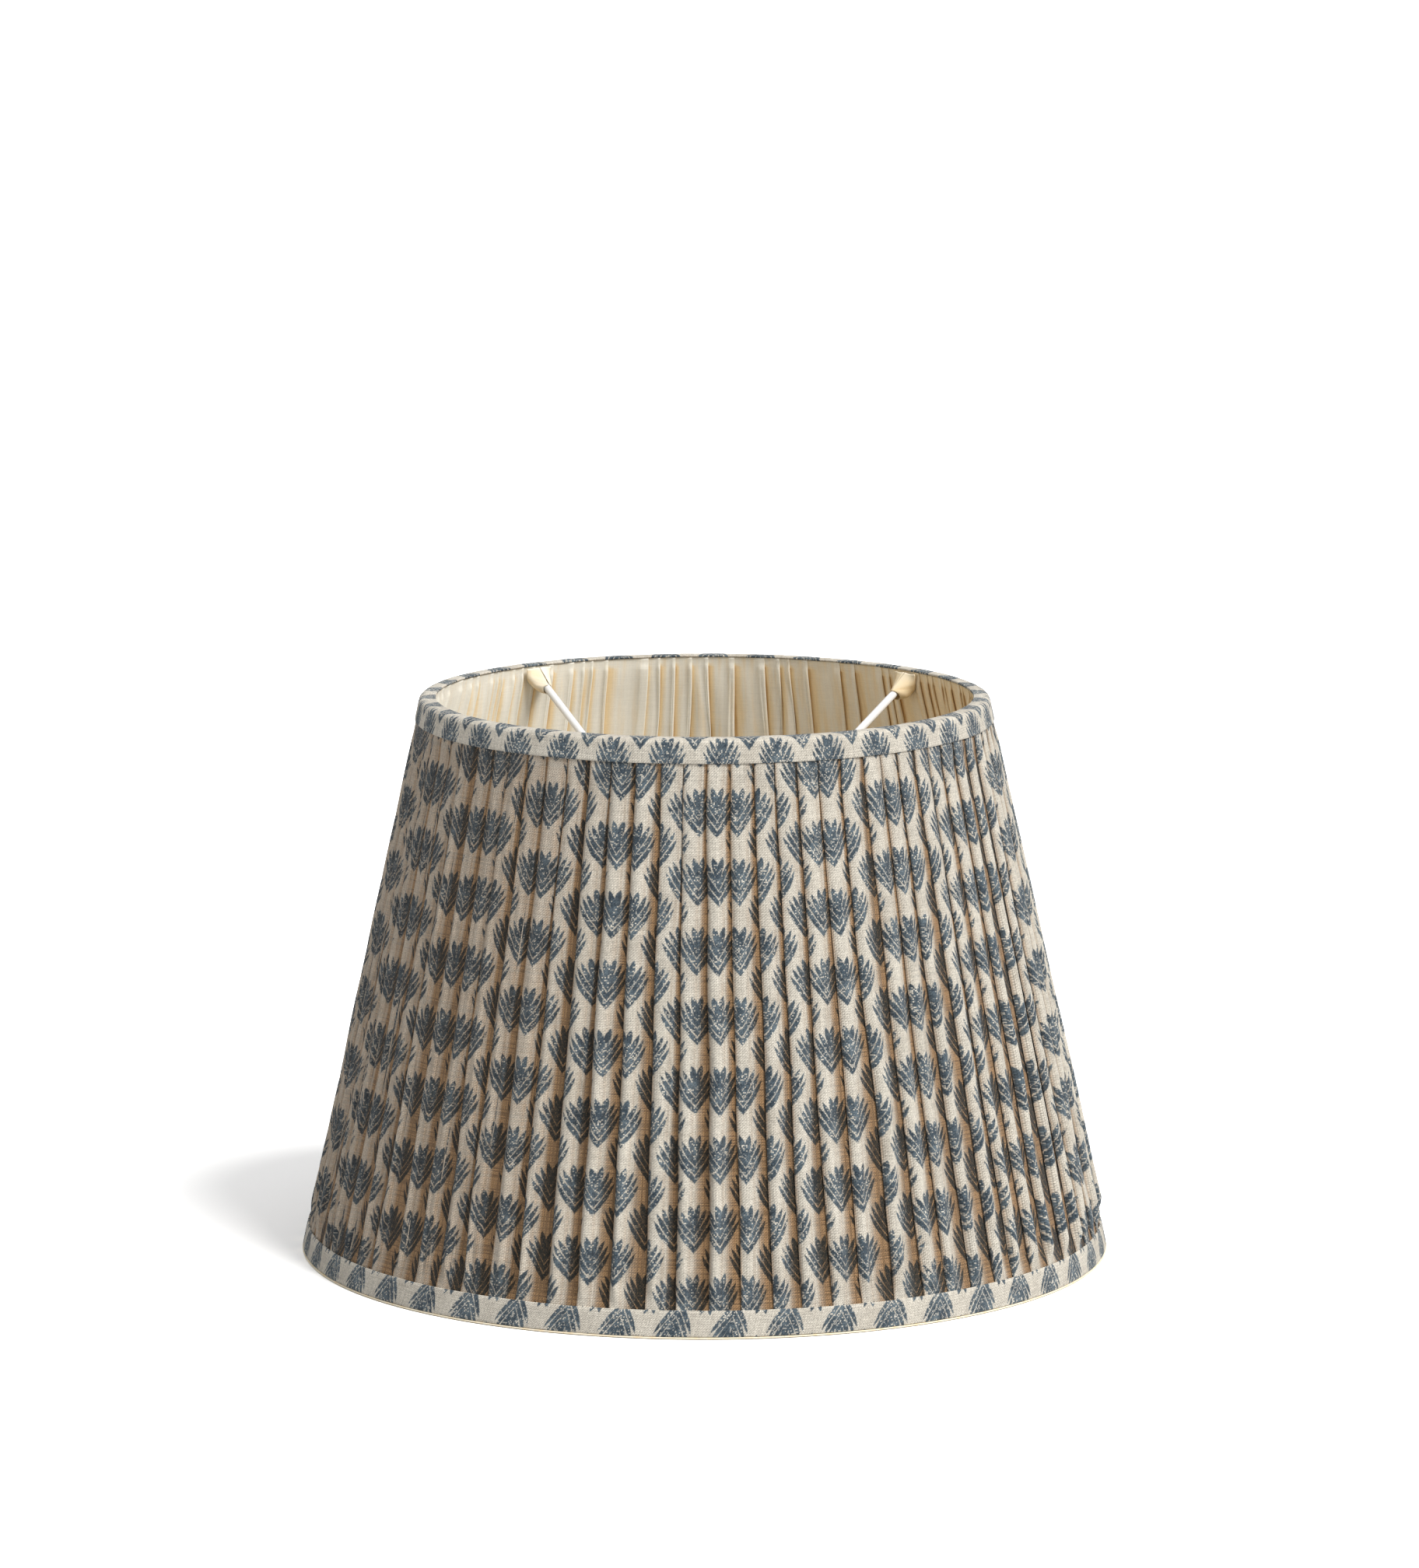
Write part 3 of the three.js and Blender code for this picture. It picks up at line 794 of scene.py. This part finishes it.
# %% Fold the panels
def fold_panel(panel):
    first = panel * pleats_in_panel
    places, flats, light_shade_columns = [], [], []
    for index in range(first, first + pleats_in_panel):
        columns = pleat(index)
        angle = fold_angles[index]
        loose = looseness(edge_angles[index])
        phase = chance_of.random() * 2 * math.pi
        beat = 4.2 + 1.5 * chance_of.random()
        low_crush = smooth_step(cover_rows, 62 * MM, 20 * MM) * stand_open
        kinks = 0.50 * MM * low_crush + 0.45 * MM * loose * stand_open
        for round_wall, high, along, light_shade_here in columns:
            on_face = smooth_step(high, 0.45 * MM, 1.1 * MM) + 0.5 * light_shade_here
            ripple = kinks * np.sin(along / (beat * MM) * 2 * math.pi + phase + 14 * row_share)
            inset = base_inset - np.maximum(high + ripple * on_face, 0)
            theta = angle + round_wall / base_radius
            places.append(around_axis(wall(inset, cover_rows), theta, cover_rows))
            cloth_x_here = cloth_marks[index] + along + print_across
            cloth_y_here = cover_rows / math.cos(wall_angle) + print_up
            flats.append(np.stack([cloth_x_here, cloth_y_here], axis=-1))
            # The looser side of the shade, away from the lamp, also gets painted shade.
            with_loose_side_shade = np.clip(light_shade_here + 0.42 * loose, 0, 1)
            light_shade_columns.append(with_loose_side_shade)
    place, flat = np.stack(places, axis=1), np.stack(flats, axis=1)
    light_shade_here = np.stack(light_shade_columns, axis=1)
    name = f"cover_panel_{panel + 1}"
    piece = make_sheet(name, place, flat, light_shade_here, linen_finish, linen_thickness)
    width = cloth_widths[first:first + pleats_in_panel].sum()
    return piece, (width, (cover_rows[-1] - cover_rows[0]) / math.cos(wall_angle))


cover_panels = [fold_panel(panel) for panel in range(panel_count)]
for piece, (width, length) in cover_panels:
    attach(piece, "root")
    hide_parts("outer_cover")
    print(piece.name, "was cut", round(width, 3), "by", round(length, 3), "m")

# %% [markdown]
# ## The bindings
# Each binding is a narrow strip of the same linen, cut straight, turned in at its edges
# and glued over the raw tops of the pleats. The top one rolls over the rim and stops just
# inside it. Its outline across the strip is drawn once as a soft roll and carried round
# the axis on a grid, so it can keep the slight waver of a strip laid by hand.

# %% Arcs for the outline of a strip
def arc(centre_inset, centre_height, radius, start, end, count):
    """Points on an arc, as (inset, height). 0 degrees points outwards, 90 up."""
    turn = np.radians(np.linspace(start, end, count))
    return [(centre_inset - radius * math.cos(t), centre_height + radius * math.sin(t)) for t in turn]


# %% The binding's place and its flat cloth
waver = 0.12 * MM
binding_thickness = 0.34 * MM
print("bindings waver by", waver / MM, "mm")


def binding(name, outline, print_start, print_turn, lean, flip):
    """outline is a list of (inset, height). lean is how far off the grain the strip was pulled."""
    outline = np.array(outline)
    steps = np.hypot(*np.diff(outline, axis=0).T)
    run = np.concatenate([[0], np.cumsum(steps)])
    around = 240
    angle = np.linspace(0, 2 * math.pi, around + 1)
    girth = 2 * math.pi * wall(0, outline[:, 1].mean())
    repeats = round(girth / (repeat_across * MM))
    cloth_u = angle / (2 * math.pi) * repeats * repeat_across * MM
    ease = np.zeros((len(outline), around + 1))
    rise = np.zeros((len(outline), around + 1))
    for cycles in (5, 9, 17, 31, 55):
        phase = chance_of.random(2) * 2 * math.pi
        ease += np.sin(cycles * angle + phase[0])[None, :] * waver / 3
        rise += np.sin(cycles * angle + phase[1])[None, :] * waver / 3
    rows = []
    flats = []
    for row, (inset, height) in enumerate(outline):
        radius = wall(inset, height) - np.abs(ease[row])
        rows.append(around_axis(radius, angle, height + 0.8 * rise[row]))
        along = run[-1] - run[row] if flip else run[row]
        cloth_v = np.full_like(angle, print_start + along)
        flats.append(np.stack([cloth_u + print_turn + lean * along, cloth_v], axis=-1))
    place = np.stack(rows)
    place[:, -1] = place[:, 0]
    light_shade_here = np.zeros(place.shape[:2])
    flat = np.stack(flats)
    piece = make_sheet(name, place, flat, light_shade_here, linen_finish, binding_thickness, weld=True)
    return piece, (girth, run[-1])


# %% Lay the top binding
face_inset = 0.36 * MM
lip_radius = 0.32 * MM
lip_centre = 0.68 * MM
rim_roll = 2.3 * MM

top_outline = [(1.02 * MM, top_lip + 4 * MM), (1.0 * MM, top_lip + 1.2 * MM)]
top_outline += arc(lip_centre, top_lip + 0.55 * MM, lip_radius, -150, 0, 5)
top_outline += [(face_inset, top_lip + d * MM) for d in (1.4, 3, 5, 7, 8.6)]
top_outline += arc(face_inset + rim_roll, shade_height - 2.75 * MM, rim_roll, 8, 82, 7)
top_outline += [(d * MM, shade_height - 0.42 * MM) for d in (3.4, 4.4, 5.4)]
top_outline += arc(binding_web_end - 0.65 * MM, shade_height - 0.92 * MM, 0.5 * MM, 95, 180, 4)
top_outline += [(binding_web_end - 0.15 * MM, shade_height - 1.25 * MM)]
top_outline += [(binding_web_end - 0.5 * MM, shade_height - 1.0 * MM)]
top_print = {"print_start": 11.6 * MM, "print_turn": 18.7 * MM, "lean": 0.0, "flip": False}
top_binding, top_flat = binding("rim_binding_top", top_outline, **top_print)
print("top strip's outline has", len(top_outline), "points")

# %% Lay the bottom binding
bottom_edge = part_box("bottom_binding")[0].z
bottom_outline = [(1.0 * MM, bottom_edge + 3.4 * MM), (0.98 * MM, bottom_edge + 1.2 * MM)]
bottom_outline += arc(lip_centre, bottom_edge + 0.5 * MM, lip_radius, -150, 0, 5)
bottom_outline += [(face_inset - 0.1 * MM, bottom_edge + d * MM) for d in (1.4, 3, 5, 7, 9, 11)]
bottom_outline += arc(lip_centre, bottom_lip - 0.55 * MM, lip_radius, 0, 150, 5)
bottom_outline += [(0.98 * MM, bottom_lip - 1.3 * MM), (1.0 * MM, bottom_lip - 3.4 * MM)]
bottom_print = {"print_start": 6.5 * MM, "print_turn": -8.5 * MM, "lean": 0.25, "flip": True}
bottom_binding, bottom_flat = binding("rim_binding_bottom", bottom_outline, **bottom_print)
print("bottom strip's outline has", len(bottom_outline), "points")

# %% Where the bindings belong
strips = ((top_binding, "top_binding", top_flat), (bottom_binding, "bottom_binding", bottom_flat))
for piece, node, flat in strips:
    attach(piece, "root")
    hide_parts(node)
    print(piece.name, "was cut", round(flat[0], 3), "by", round(flat[1], 4), "m")

# %% [markdown]
# ## The gathered lining
# The lining is cut as wide as the bottom rim needs, and at the narrower top the spare
# width is taken up in small tucks, sewn flat along a heading. The same pleat function
# makes them: with little cloth to spare, its folds are shallow at the top and gone at the
# bottom. It faces the axis, so its height is measured inwards. Below, the cloth rolls out
# under the bottom ring and ends as a thin cream edge below the binding.

# %% Rows of the lining
tuck_count = 86
lining_halves = 2
cloth_per_tuck = 15.0 * MM
cotton_thickness = 0.2 * MM

lining_wall = np.concatenate([
    np.linspace(8 * MM, 30 * MM, 5),
    np.linspace(40 * MM, 230 * MM, 15),
    np.linspace(240 * MM, 278 * MM, 6),
    np.linspace(cloth_top - 8.5 * MM, cloth_top - 0.2 * MM, 7),
])
lining_back = 7.72 * MM - 0.75 * MM * opening(lining_wall)
roll = arc(4.2 * MM, 4.35 * MM, 3.85 * MM, -180, -90, 5)
turn_out = [(3.0 * MM, 0.42 * MM), (1.2 * MM, 0.42 * MM)]
turn_edge = arc(0.55 * MM, 0.72 * MM, 0.32 * MM, -70, 90, 4)
turn_back = [(1.2 * MM, 1.02 * MM), (3.2 * MM, 1.0 * MM)]
under = (roll + turn_out + turn_edge + turn_back)[::-1]
lining_rows = np.array(under + list(zip(lining_back, lining_wall)))
run_up = np.concatenate([[0], np.cumsum(np.hypot(*np.diff(lining_rows, axis=0).T))])
print("lining rows", len(lining_rows), "cloth length", round(run_up[-1], 4), "m")

# %% Widths and tucks of the lining
lining_z = lining_rows[:, 1]
lining_base = wall(lining_rows[:, 0], lining_z)
tuck_widths = np.exp(np.clip(chance_of.normal(0, 0.5, tuck_count), -1.0, 0.95))
tuck_widths = tuck_widths.reshape(lining_halves, -1)
tuck_widths = (tuck_widths / tuck_widths.sum(axis=1, keepdims=True) / lining_halves).ravel()
tuck_edges = np.concatenate([[0], np.cumsum(tuck_widths)]) * 2 * math.pi
tuck_wander = np.stack([wobble(chance_of, lining_z / shade_height, 3) for _ in range(tuck_count)])
tuck_wander = np.concatenate([tuck_wander, tuck_wander[:1]]) * 1.3 * MM
tuck_wander = tuck_wander * smooth_step(lining_z, cloth_top, 230 * MM)
tuck_lines = tuck_edges[:, None] + tuck_wander / lining_base[None, :]
lining_pitches = np.diff(tuck_lines, axis=0) * lining_base
lining_widths = cloth_per_tuck * tuck_widths * tuck_count
lining_tucks = np.clip((lining_widths[:, None] - lining_pitches) / 2, 0.25 * MM, 0.9 * lining_pitches)
lining_folds = hidden_folds(lining_tucks, 0.4 * MM)
tuck_loose = np.stack([wobble(chance_of, lining_z / shade_height, 3) for _ in range(tuck_count)])
above_ring = smooth_step(lining_z, 10 * MM, 24 * MM)
hangs_free = above_ring * smooth_step(lining_z, cloth_top - 4 * MM, cloth_top - 26 * MM)
released = above_ring * smooth_step(lining_z, cloth_top - 3.2 * MM, cloth_top - 6.5 * MM)
is_wall = smooth_step(lining_z, 6 * MM, 14 * MM)


def lamp_glow(angle):
    """1 where the lamp stands behind the wall and shines through it, 0 on the other side."""
    away = np.abs((angle - key_azimuth + math.pi) % (2 * math.pi) - math.pi)
    return 1 - smooth_step(away, math.radians(50), math.radians(140))


print("lining tucks up to", round(lining_tucks.max() / MM, 1), "mm deep")


# %% Fold the lining
def fold_lining(part):
    per_half = tuck_count // lining_halves
    first = part * per_half
    places, flats, light_shade_columns = [], [], []
    along_start = 0.0
    for index in range(first, first + per_half):
        after = (index + 1) % tuck_count
        pitch = lining_pitches[index]
        sizes = pitch, lining_tucks[index], lining_folds[index], lining_folds[after]
        depth = np.minimum(lining_tucks[index], lining_tucks[index - 1]) / (1.2 * MM)
        shut = np.clip(depth, 0.1, 1) * is_wall
        gap = shut * mix(0.22 * MM, 0.50 * MM, released)
        face = shut * mix(0.46 * MM, 1.45 * MM, released)
        belly = np.clip(0.6 + 0.7 * tuck_loose[index], 0.05, 1.9) * 1.8 * MM * hangs_free
        crease_shade_strength = chance_of.uniform(0.45, 1.1)
        glow_here = 0.45 * lamp_glow(tuck_edges[index])
        for round_wall, high, along, light_shade_here in pleat_columns(*sizes, gap, face, 0 * gap, 0.5 * MM):
            across_panel = np.clip(round_wall / pitch, 0, 1)
            swell = belly * np.sin(math.pi * across_panel) ** 1.4
            inset = lining_rows[:, 0] + high + swell * (light_shade_here > 0)
            theta = tuck_lines[index] + round_wall / lining_base
            places.append(around_axis(wall(inset, lining_z), theta, lining_z))
            flats.append(np.stack([along_start + along, run_up], axis=-1))
            # Painted shade in each tuck's crease and a painted glow where the lamp shines through. The
            # turned-under edge gets a fixed painted shade.
            crease = np.exp(-((across_panel - 1) * pitch / (1.7 * MM)) ** 2) * (light_shade_here > 0)
            glow_and_shade = 0.08 * light_shade_here + crease_shade_strength * crease * released + glow_here
            light_shade_columns.append(mix(0.3, np.clip(glow_and_shade, 0, 1), is_wall))
        along_start += lining_widths[index]
    stacks = [np.stack(part_list, axis=1) for part_list in (places, flats, light_shade_columns)]
    piece = make_sheet(f"lining_half_{part + 1}", *stacks, cotton_finish, cotton_thickness)
    return piece, (along_start, run_up[-1])


lining_parts = [fold_lining(part) for part in range(lining_halves)]
for piece, flat in lining_parts:
    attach(piece, "root")
    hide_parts("lining")
    print(piece.name, "was cut", round(flat[0], 3), "by", round(flat[1], 3), "m")

# %% [markdown]
# ## Fitter arms and fitter ring
# The arms are straight wire, bent once and welded to the pressed ring in the middle. The
# frame's own arms are eight-sided, which shows on a glossy coat, so each is swept again
# as a round wire along the same line. A flat grid is rolled into a tube round that line,
# and its ends are drawn in a little and closed, as the coat rounds them.

# %% Places on the frame
ring_reach, ring_heights = rings_of("fitter_ring")
ring_top = ring_heights.max()
ring_bottom = ring_heights.min()
ring_outer = ring_reach.max()
ring_bore = ring_reach.min()
top_ring_reach, top_ring_heights = rings_of("top_ring")
top_ring_radius = (top_ring_reach.max() + top_ring_reach.min()) / 2
top_ring_level = (top_ring_heights.max() + top_ring_heights.min()) / 2
arm_wire = 4 * MM
arm_leg = 10 * MM
arm_bend = 12 * MM
weld_gap = 0.3 * MM
end_step = 0.5 * MM
arm_names = [name for name in nodes if name.startswith("fitter_arm_")]
arm_names.sort()


def azimuth_of(node):
    low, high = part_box(node)
    return math.atan2((low.y + high.y) / 2, (low.x + high.x) / 2)


leg_level = (ring_top + ring_bottom) / 2
corner_radius = ring_outer + weld_gap + arm_leg
arm_slope = math.atan2(top_ring_level - leg_level, top_ring_radius - corner_radius)
print("arms slope", round(math.degrees(arm_slope), 1), "degrees")


# %% The line of an arm
def arm_line():
    """The arm's centre line in its own upright plane, as (radius, height)."""
    reach = arm_bend * math.tan(arm_slope / 2)
    uphill = np.array([math.cos(arm_slope), math.sin(arm_slope)])
    corner = np.array([corner_radius, leg_level])
    start, end = corner - np.array([reach, 0]), corner + uphill * reach
    finish_point = np.array([top_ring_radius, top_ring_level]) - uphill * 2.3 * MM
    bend = [(1 - t) ** 2 * start + 2 * t * (1 - t) * corner + t * t * end for t in np.linspace(0, 1, 9)]
    first = np.array([ring_outer + weld_gap, leg_level])
    start_pair = [first, first + np.array([end_step, 0])]
    end_pair = [finish_point - uphill * end_step, finish_point]
    return start_pair + bend + end_pair


print("an arm's line has", len(arm_line()), "points")


# %% A round wire along a line
def sweep_wire(name, line, diameter, azimuth):
    """A round wire along a line of (radius, height) points, turned to its azimuth."""
    sides = 24
    line = np.array(line)
    heading = np.gradient(line, axis=0)
    heading = heading / np.linalg.norm(heading, axis=1)[:, None]
    sizes = np.full(len(line), diameter / 2)
    sizes[[0, -1]] = 0.4 * diameter
    mesh_maker = bmesh.new()
    bmesh.ops.create_grid(mesh_maker, x_segments=sides, y_segments=len(line) - 1, size=0.5)
    for vert in mesh_maker.verts:
        step = round((vert.co.y + 0.5) * (len(line) - 1))
        turn = (vert.co.x + 0.5) * 2 * math.pi
        lift = sizes[step] * math.cos(turn)
        side = sizes[step] * math.sin(turn)
        vert.co = (line[step, 0] - heading[step, 1] * lift, side, line[step, 1] + heading[step, 0] * lift)
    bmesh.ops.remove_doubles(mesh_maker, verts=mesh_maker.verts, dist=0.01 * MM)
    bmesh.ops.holes_fill(mesh_maker, edges=mesh_maker.edges, sides=sides)
    bmesh.ops.recalc_face_normals(mesh_maker, faces=mesh_maker.faces)
    bmesh.ops.transform(mesh_maker, matrix=Matrix.Rotation(azimuth, 4, "Z"), verts=mesh_maker.verts)
    for face in mesh_maker.faces:
        face.smooth = len(face.verts) == 4
    return finished_piece(name, mesh_maker, coat_finish)


# %% Sweep the arms
for number, node in enumerate(arm_names):
    arm = sweep_wire(f"arm_wire_{number + 1}", arm_line(), arm_wire, azimuth_of(node))
    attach(arm, "root")
    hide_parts(node)
    print(arm.name, "at", round(math.degrees(azimuth_of(node)), 1), "degrees")

# %% [markdown]
# The fitter ring is a flat washer whose rim is turned down. Its section is drawn as a few
# corners, spun once round the axis, and its corners are rounded with a bevel, because a
# pressed sheet never has a sharp edge.

# %% Spin the fitter ring
sheet_steel = 1.6 * MM
pressed_corner = 0.45 * MM


def spin_ring():
    mesh_maker = bmesh.new()
    outline = [
        (ring_bore, ring_top), (ring_outer, ring_top), (ring_outer, ring_bottom),
        (ring_outer - sheet_steel, ring_bottom), (ring_outer - sheet_steel, ring_top - sheet_steel),
        (ring_bore, ring_top - sheet_steel),
    ]
    corners = [mesh_maker.verts.new((radius, 0, height)) for radius, height in outline]
    mesh_maker.faces.new(corners)
    bmesh.ops.bevel(mesh_maker, geom=corners, offset=pressed_corner, affect="VERTICES",
                    segments=3, profile=0.5, material=-1)
    edges = list({edge for face in mesh_maker.faces for edge in face.edges})
    bmesh.ops.delete(mesh_maker, geom=list(mesh_maker.faces), context="FACES_ONLY")
    bmesh.ops.spin(mesh_maker, geom=edges + list(mesh_maker.verts), cent=(0, 0, 0), axis=(0, 0, 1),
                   angle=2 * math.pi, steps=96, use_merge=True, use_duplicate=False)
    bmesh.ops.remove_doubles(mesh_maker, verts=mesh_maker.verts, dist=0.001 * MM)
    bmesh.ops.recalc_face_normals(mesh_maker, faces=mesh_maker.faces)
    for face in mesh_maker.faces:
        face.smooth = True
    return finished_piece("fitter_collar", mesh_maker, coat_finish)


fitter_collar = spin_ring()
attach(fitter_collar, "root")
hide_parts("fitter_ring")
print("fitter bore", round(ring_bore * 2 / MM, 1), "mm")

# %% [markdown]
# ## The arm patches
# Where an arm passes through the lining, the slit is hidden by a strip of the same cotton.
# It is slung under the wire and both its ends are carried up to the rim, so it reads as a
# small funnel that narrows towards the wire. Each is pulled a little differently.

# %% Sizes of a patch
patch_half_span = 8.0 * MM
patch_out = 9.5 * MM
patch_hug = arm_wire / 2 + 0.42 * MM
patch_thickness = 0.4 * MM
shortest_cut = 10.2 * MM
wall_gap = 1.5 * MM
on_top = 0.72
patch_slacks = (1.9 * MM, 0.5 * MM, 1.2 * MM, 0.8 * MM)
print("patches span", 2 * patch_half_span / MM, "mm on the wall")


# %% One patch slung under its arm
def sling(name, azimuth, slack, phase):
    """across runs from one end of the strip to the other, out from the wall along the arm."""
    rows, columns = 13, 49
    across = np.linspace(-1, 1, columns)[None, :]
    out = np.linspace(0, 1, rows)[:, None]
    away = np.abs(across)
    start_radius = wall(lining_rim, top_ring_level) - wall_gap
    start_level = top_ring_level - (top_ring_radius - start_radius) * math.tan(arm_slope)
    rim_level = shade_height - 2.3 * MM
    # The edge against the wall opens wide.
    wall_side = patch_half_span * np.sin(across * math.pi / 2)
    wall_level = mix(start_level - 4.2 * MM - slack, rim_level, away ** 2.2)
    wall_back = wall(lining_rim, wall_level) - wall_gap
    # The edge towards the axis hugs the wire, then climbs to the rim.
    turn = np.clip(away / on_top, 0, 1) * math.pi
    loop_up = -patch_hug * np.cos(turn) - slack * (1 + np.cos(turn)) / 2
    mouth_back = start_radius - patch_out * math.cos(arm_slope) - math.sin(arm_slope) * loop_up
    mouth_level = start_level - patch_out * math.sin(arm_slope) + math.cos(arm_slope) * loop_up
    mouth_side = np.sign(across) * np.maximum(patch_hug * np.sin(turn), 0.3 * MM * away)
    climb = smooth_step(away, on_top, 1.0)
    edge_side = mix(mouth_side, np.sign(across) * 0.35 * MM, climb)
    edge_level = mix(mouth_level, rim_level + 0.2 * MM, climb)
    edge_back = mix(mouth_back, wall(lining_rim, rim_level) - 1.7 * MM, climb)
    # The cloth between the two edges bows and crumples a little.
    reach = out * (1 + 0.10 * np.sin(5 * across + phase) * (1 - climb))
    bow = np.sin(math.pi * out) * 0.9 * MM
    crumple = 0.25 * MM * np.sin(9 * across + phase + 2.4 * out) * np.sin(math.pi * out)
    side = mix(wall_side, edge_side, reach) + np.sign(across) * bow * np.sin(math.pi * away) + crumple
    level = mix(wall_level, edge_level, reach) - bow * np.cos(away * math.pi / 2) + crumple
    back = mix(wall_back, edge_back, reach)
    place = around_axis(np.hypot(side, back), azimuth + np.arctan2(side, back), level)
    step_across = place[:-1, 1:] - place[:-1, :-1]
    step_out = place[1:, :-1] - place[:-1, :-1]
    area = np.linalg.norm(np.cross(step_across, step_out), axis=-1).sum()
    cut_width = np.linalg.norm(step_across, axis=-1).sum(axis=1).max()
    cut_length = max(np.linalg.norm(step_out, axis=-1).sum(axis=0).max(), shortest_cut)
    cloth_across = np.linspace(0, cut_width, columns)
    cloth_out = np.linspace(0, cut_length, rows)
    flat = np.stack(np.meshgrid(cloth_across, cloth_out), axis=-1)
    # Painted shade, deepest mid-strip near the wall, plus the painted lamp glow.
    glow_and_shade = 0.5 * (1 - away) ** 0.5 * (1 - 0.6 * out) + 0.12 + 0.3 * lamp_glow(azimuth)
    piece = make_sheet(name, place, flat, glow_and_shade, cotton_finish, patch_thickness)
    return piece, (cut_width, cut_length), area


# %% Sling the patches
for number, node in enumerate(arm_names):
    slack = patch_slacks[number]
    patch, flat, area = sling(f"patch_sling_{number + 1}", azimuth_of(node), slack, 2.1 * number)
    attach(patch, "root")
    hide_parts(f"arm_patch_{number + 1}")
    print(patch.name, "was cut", [round(v, 4) for v in flat])

# %% [markdown]
# ## Pieces kept from the frame
# The rings, the ribs and the tape on the rings lie between cover and lining. Their shapes
# are right as they are, so they only get their finishes.

# %% Finishes on the frame's own pieces
for name, node in nodes.items():
    finish = None
    if name.startswith("rib_") or name in ("top_ring", "bottom_ring"):
        finish = coat_finish
    elif name.endswith("_tape"):
        finish = tape_finish
    if finish:
        node.data.materials.clear()
        node.data.materials.append(finish)
        print(name, "has", finish.name)
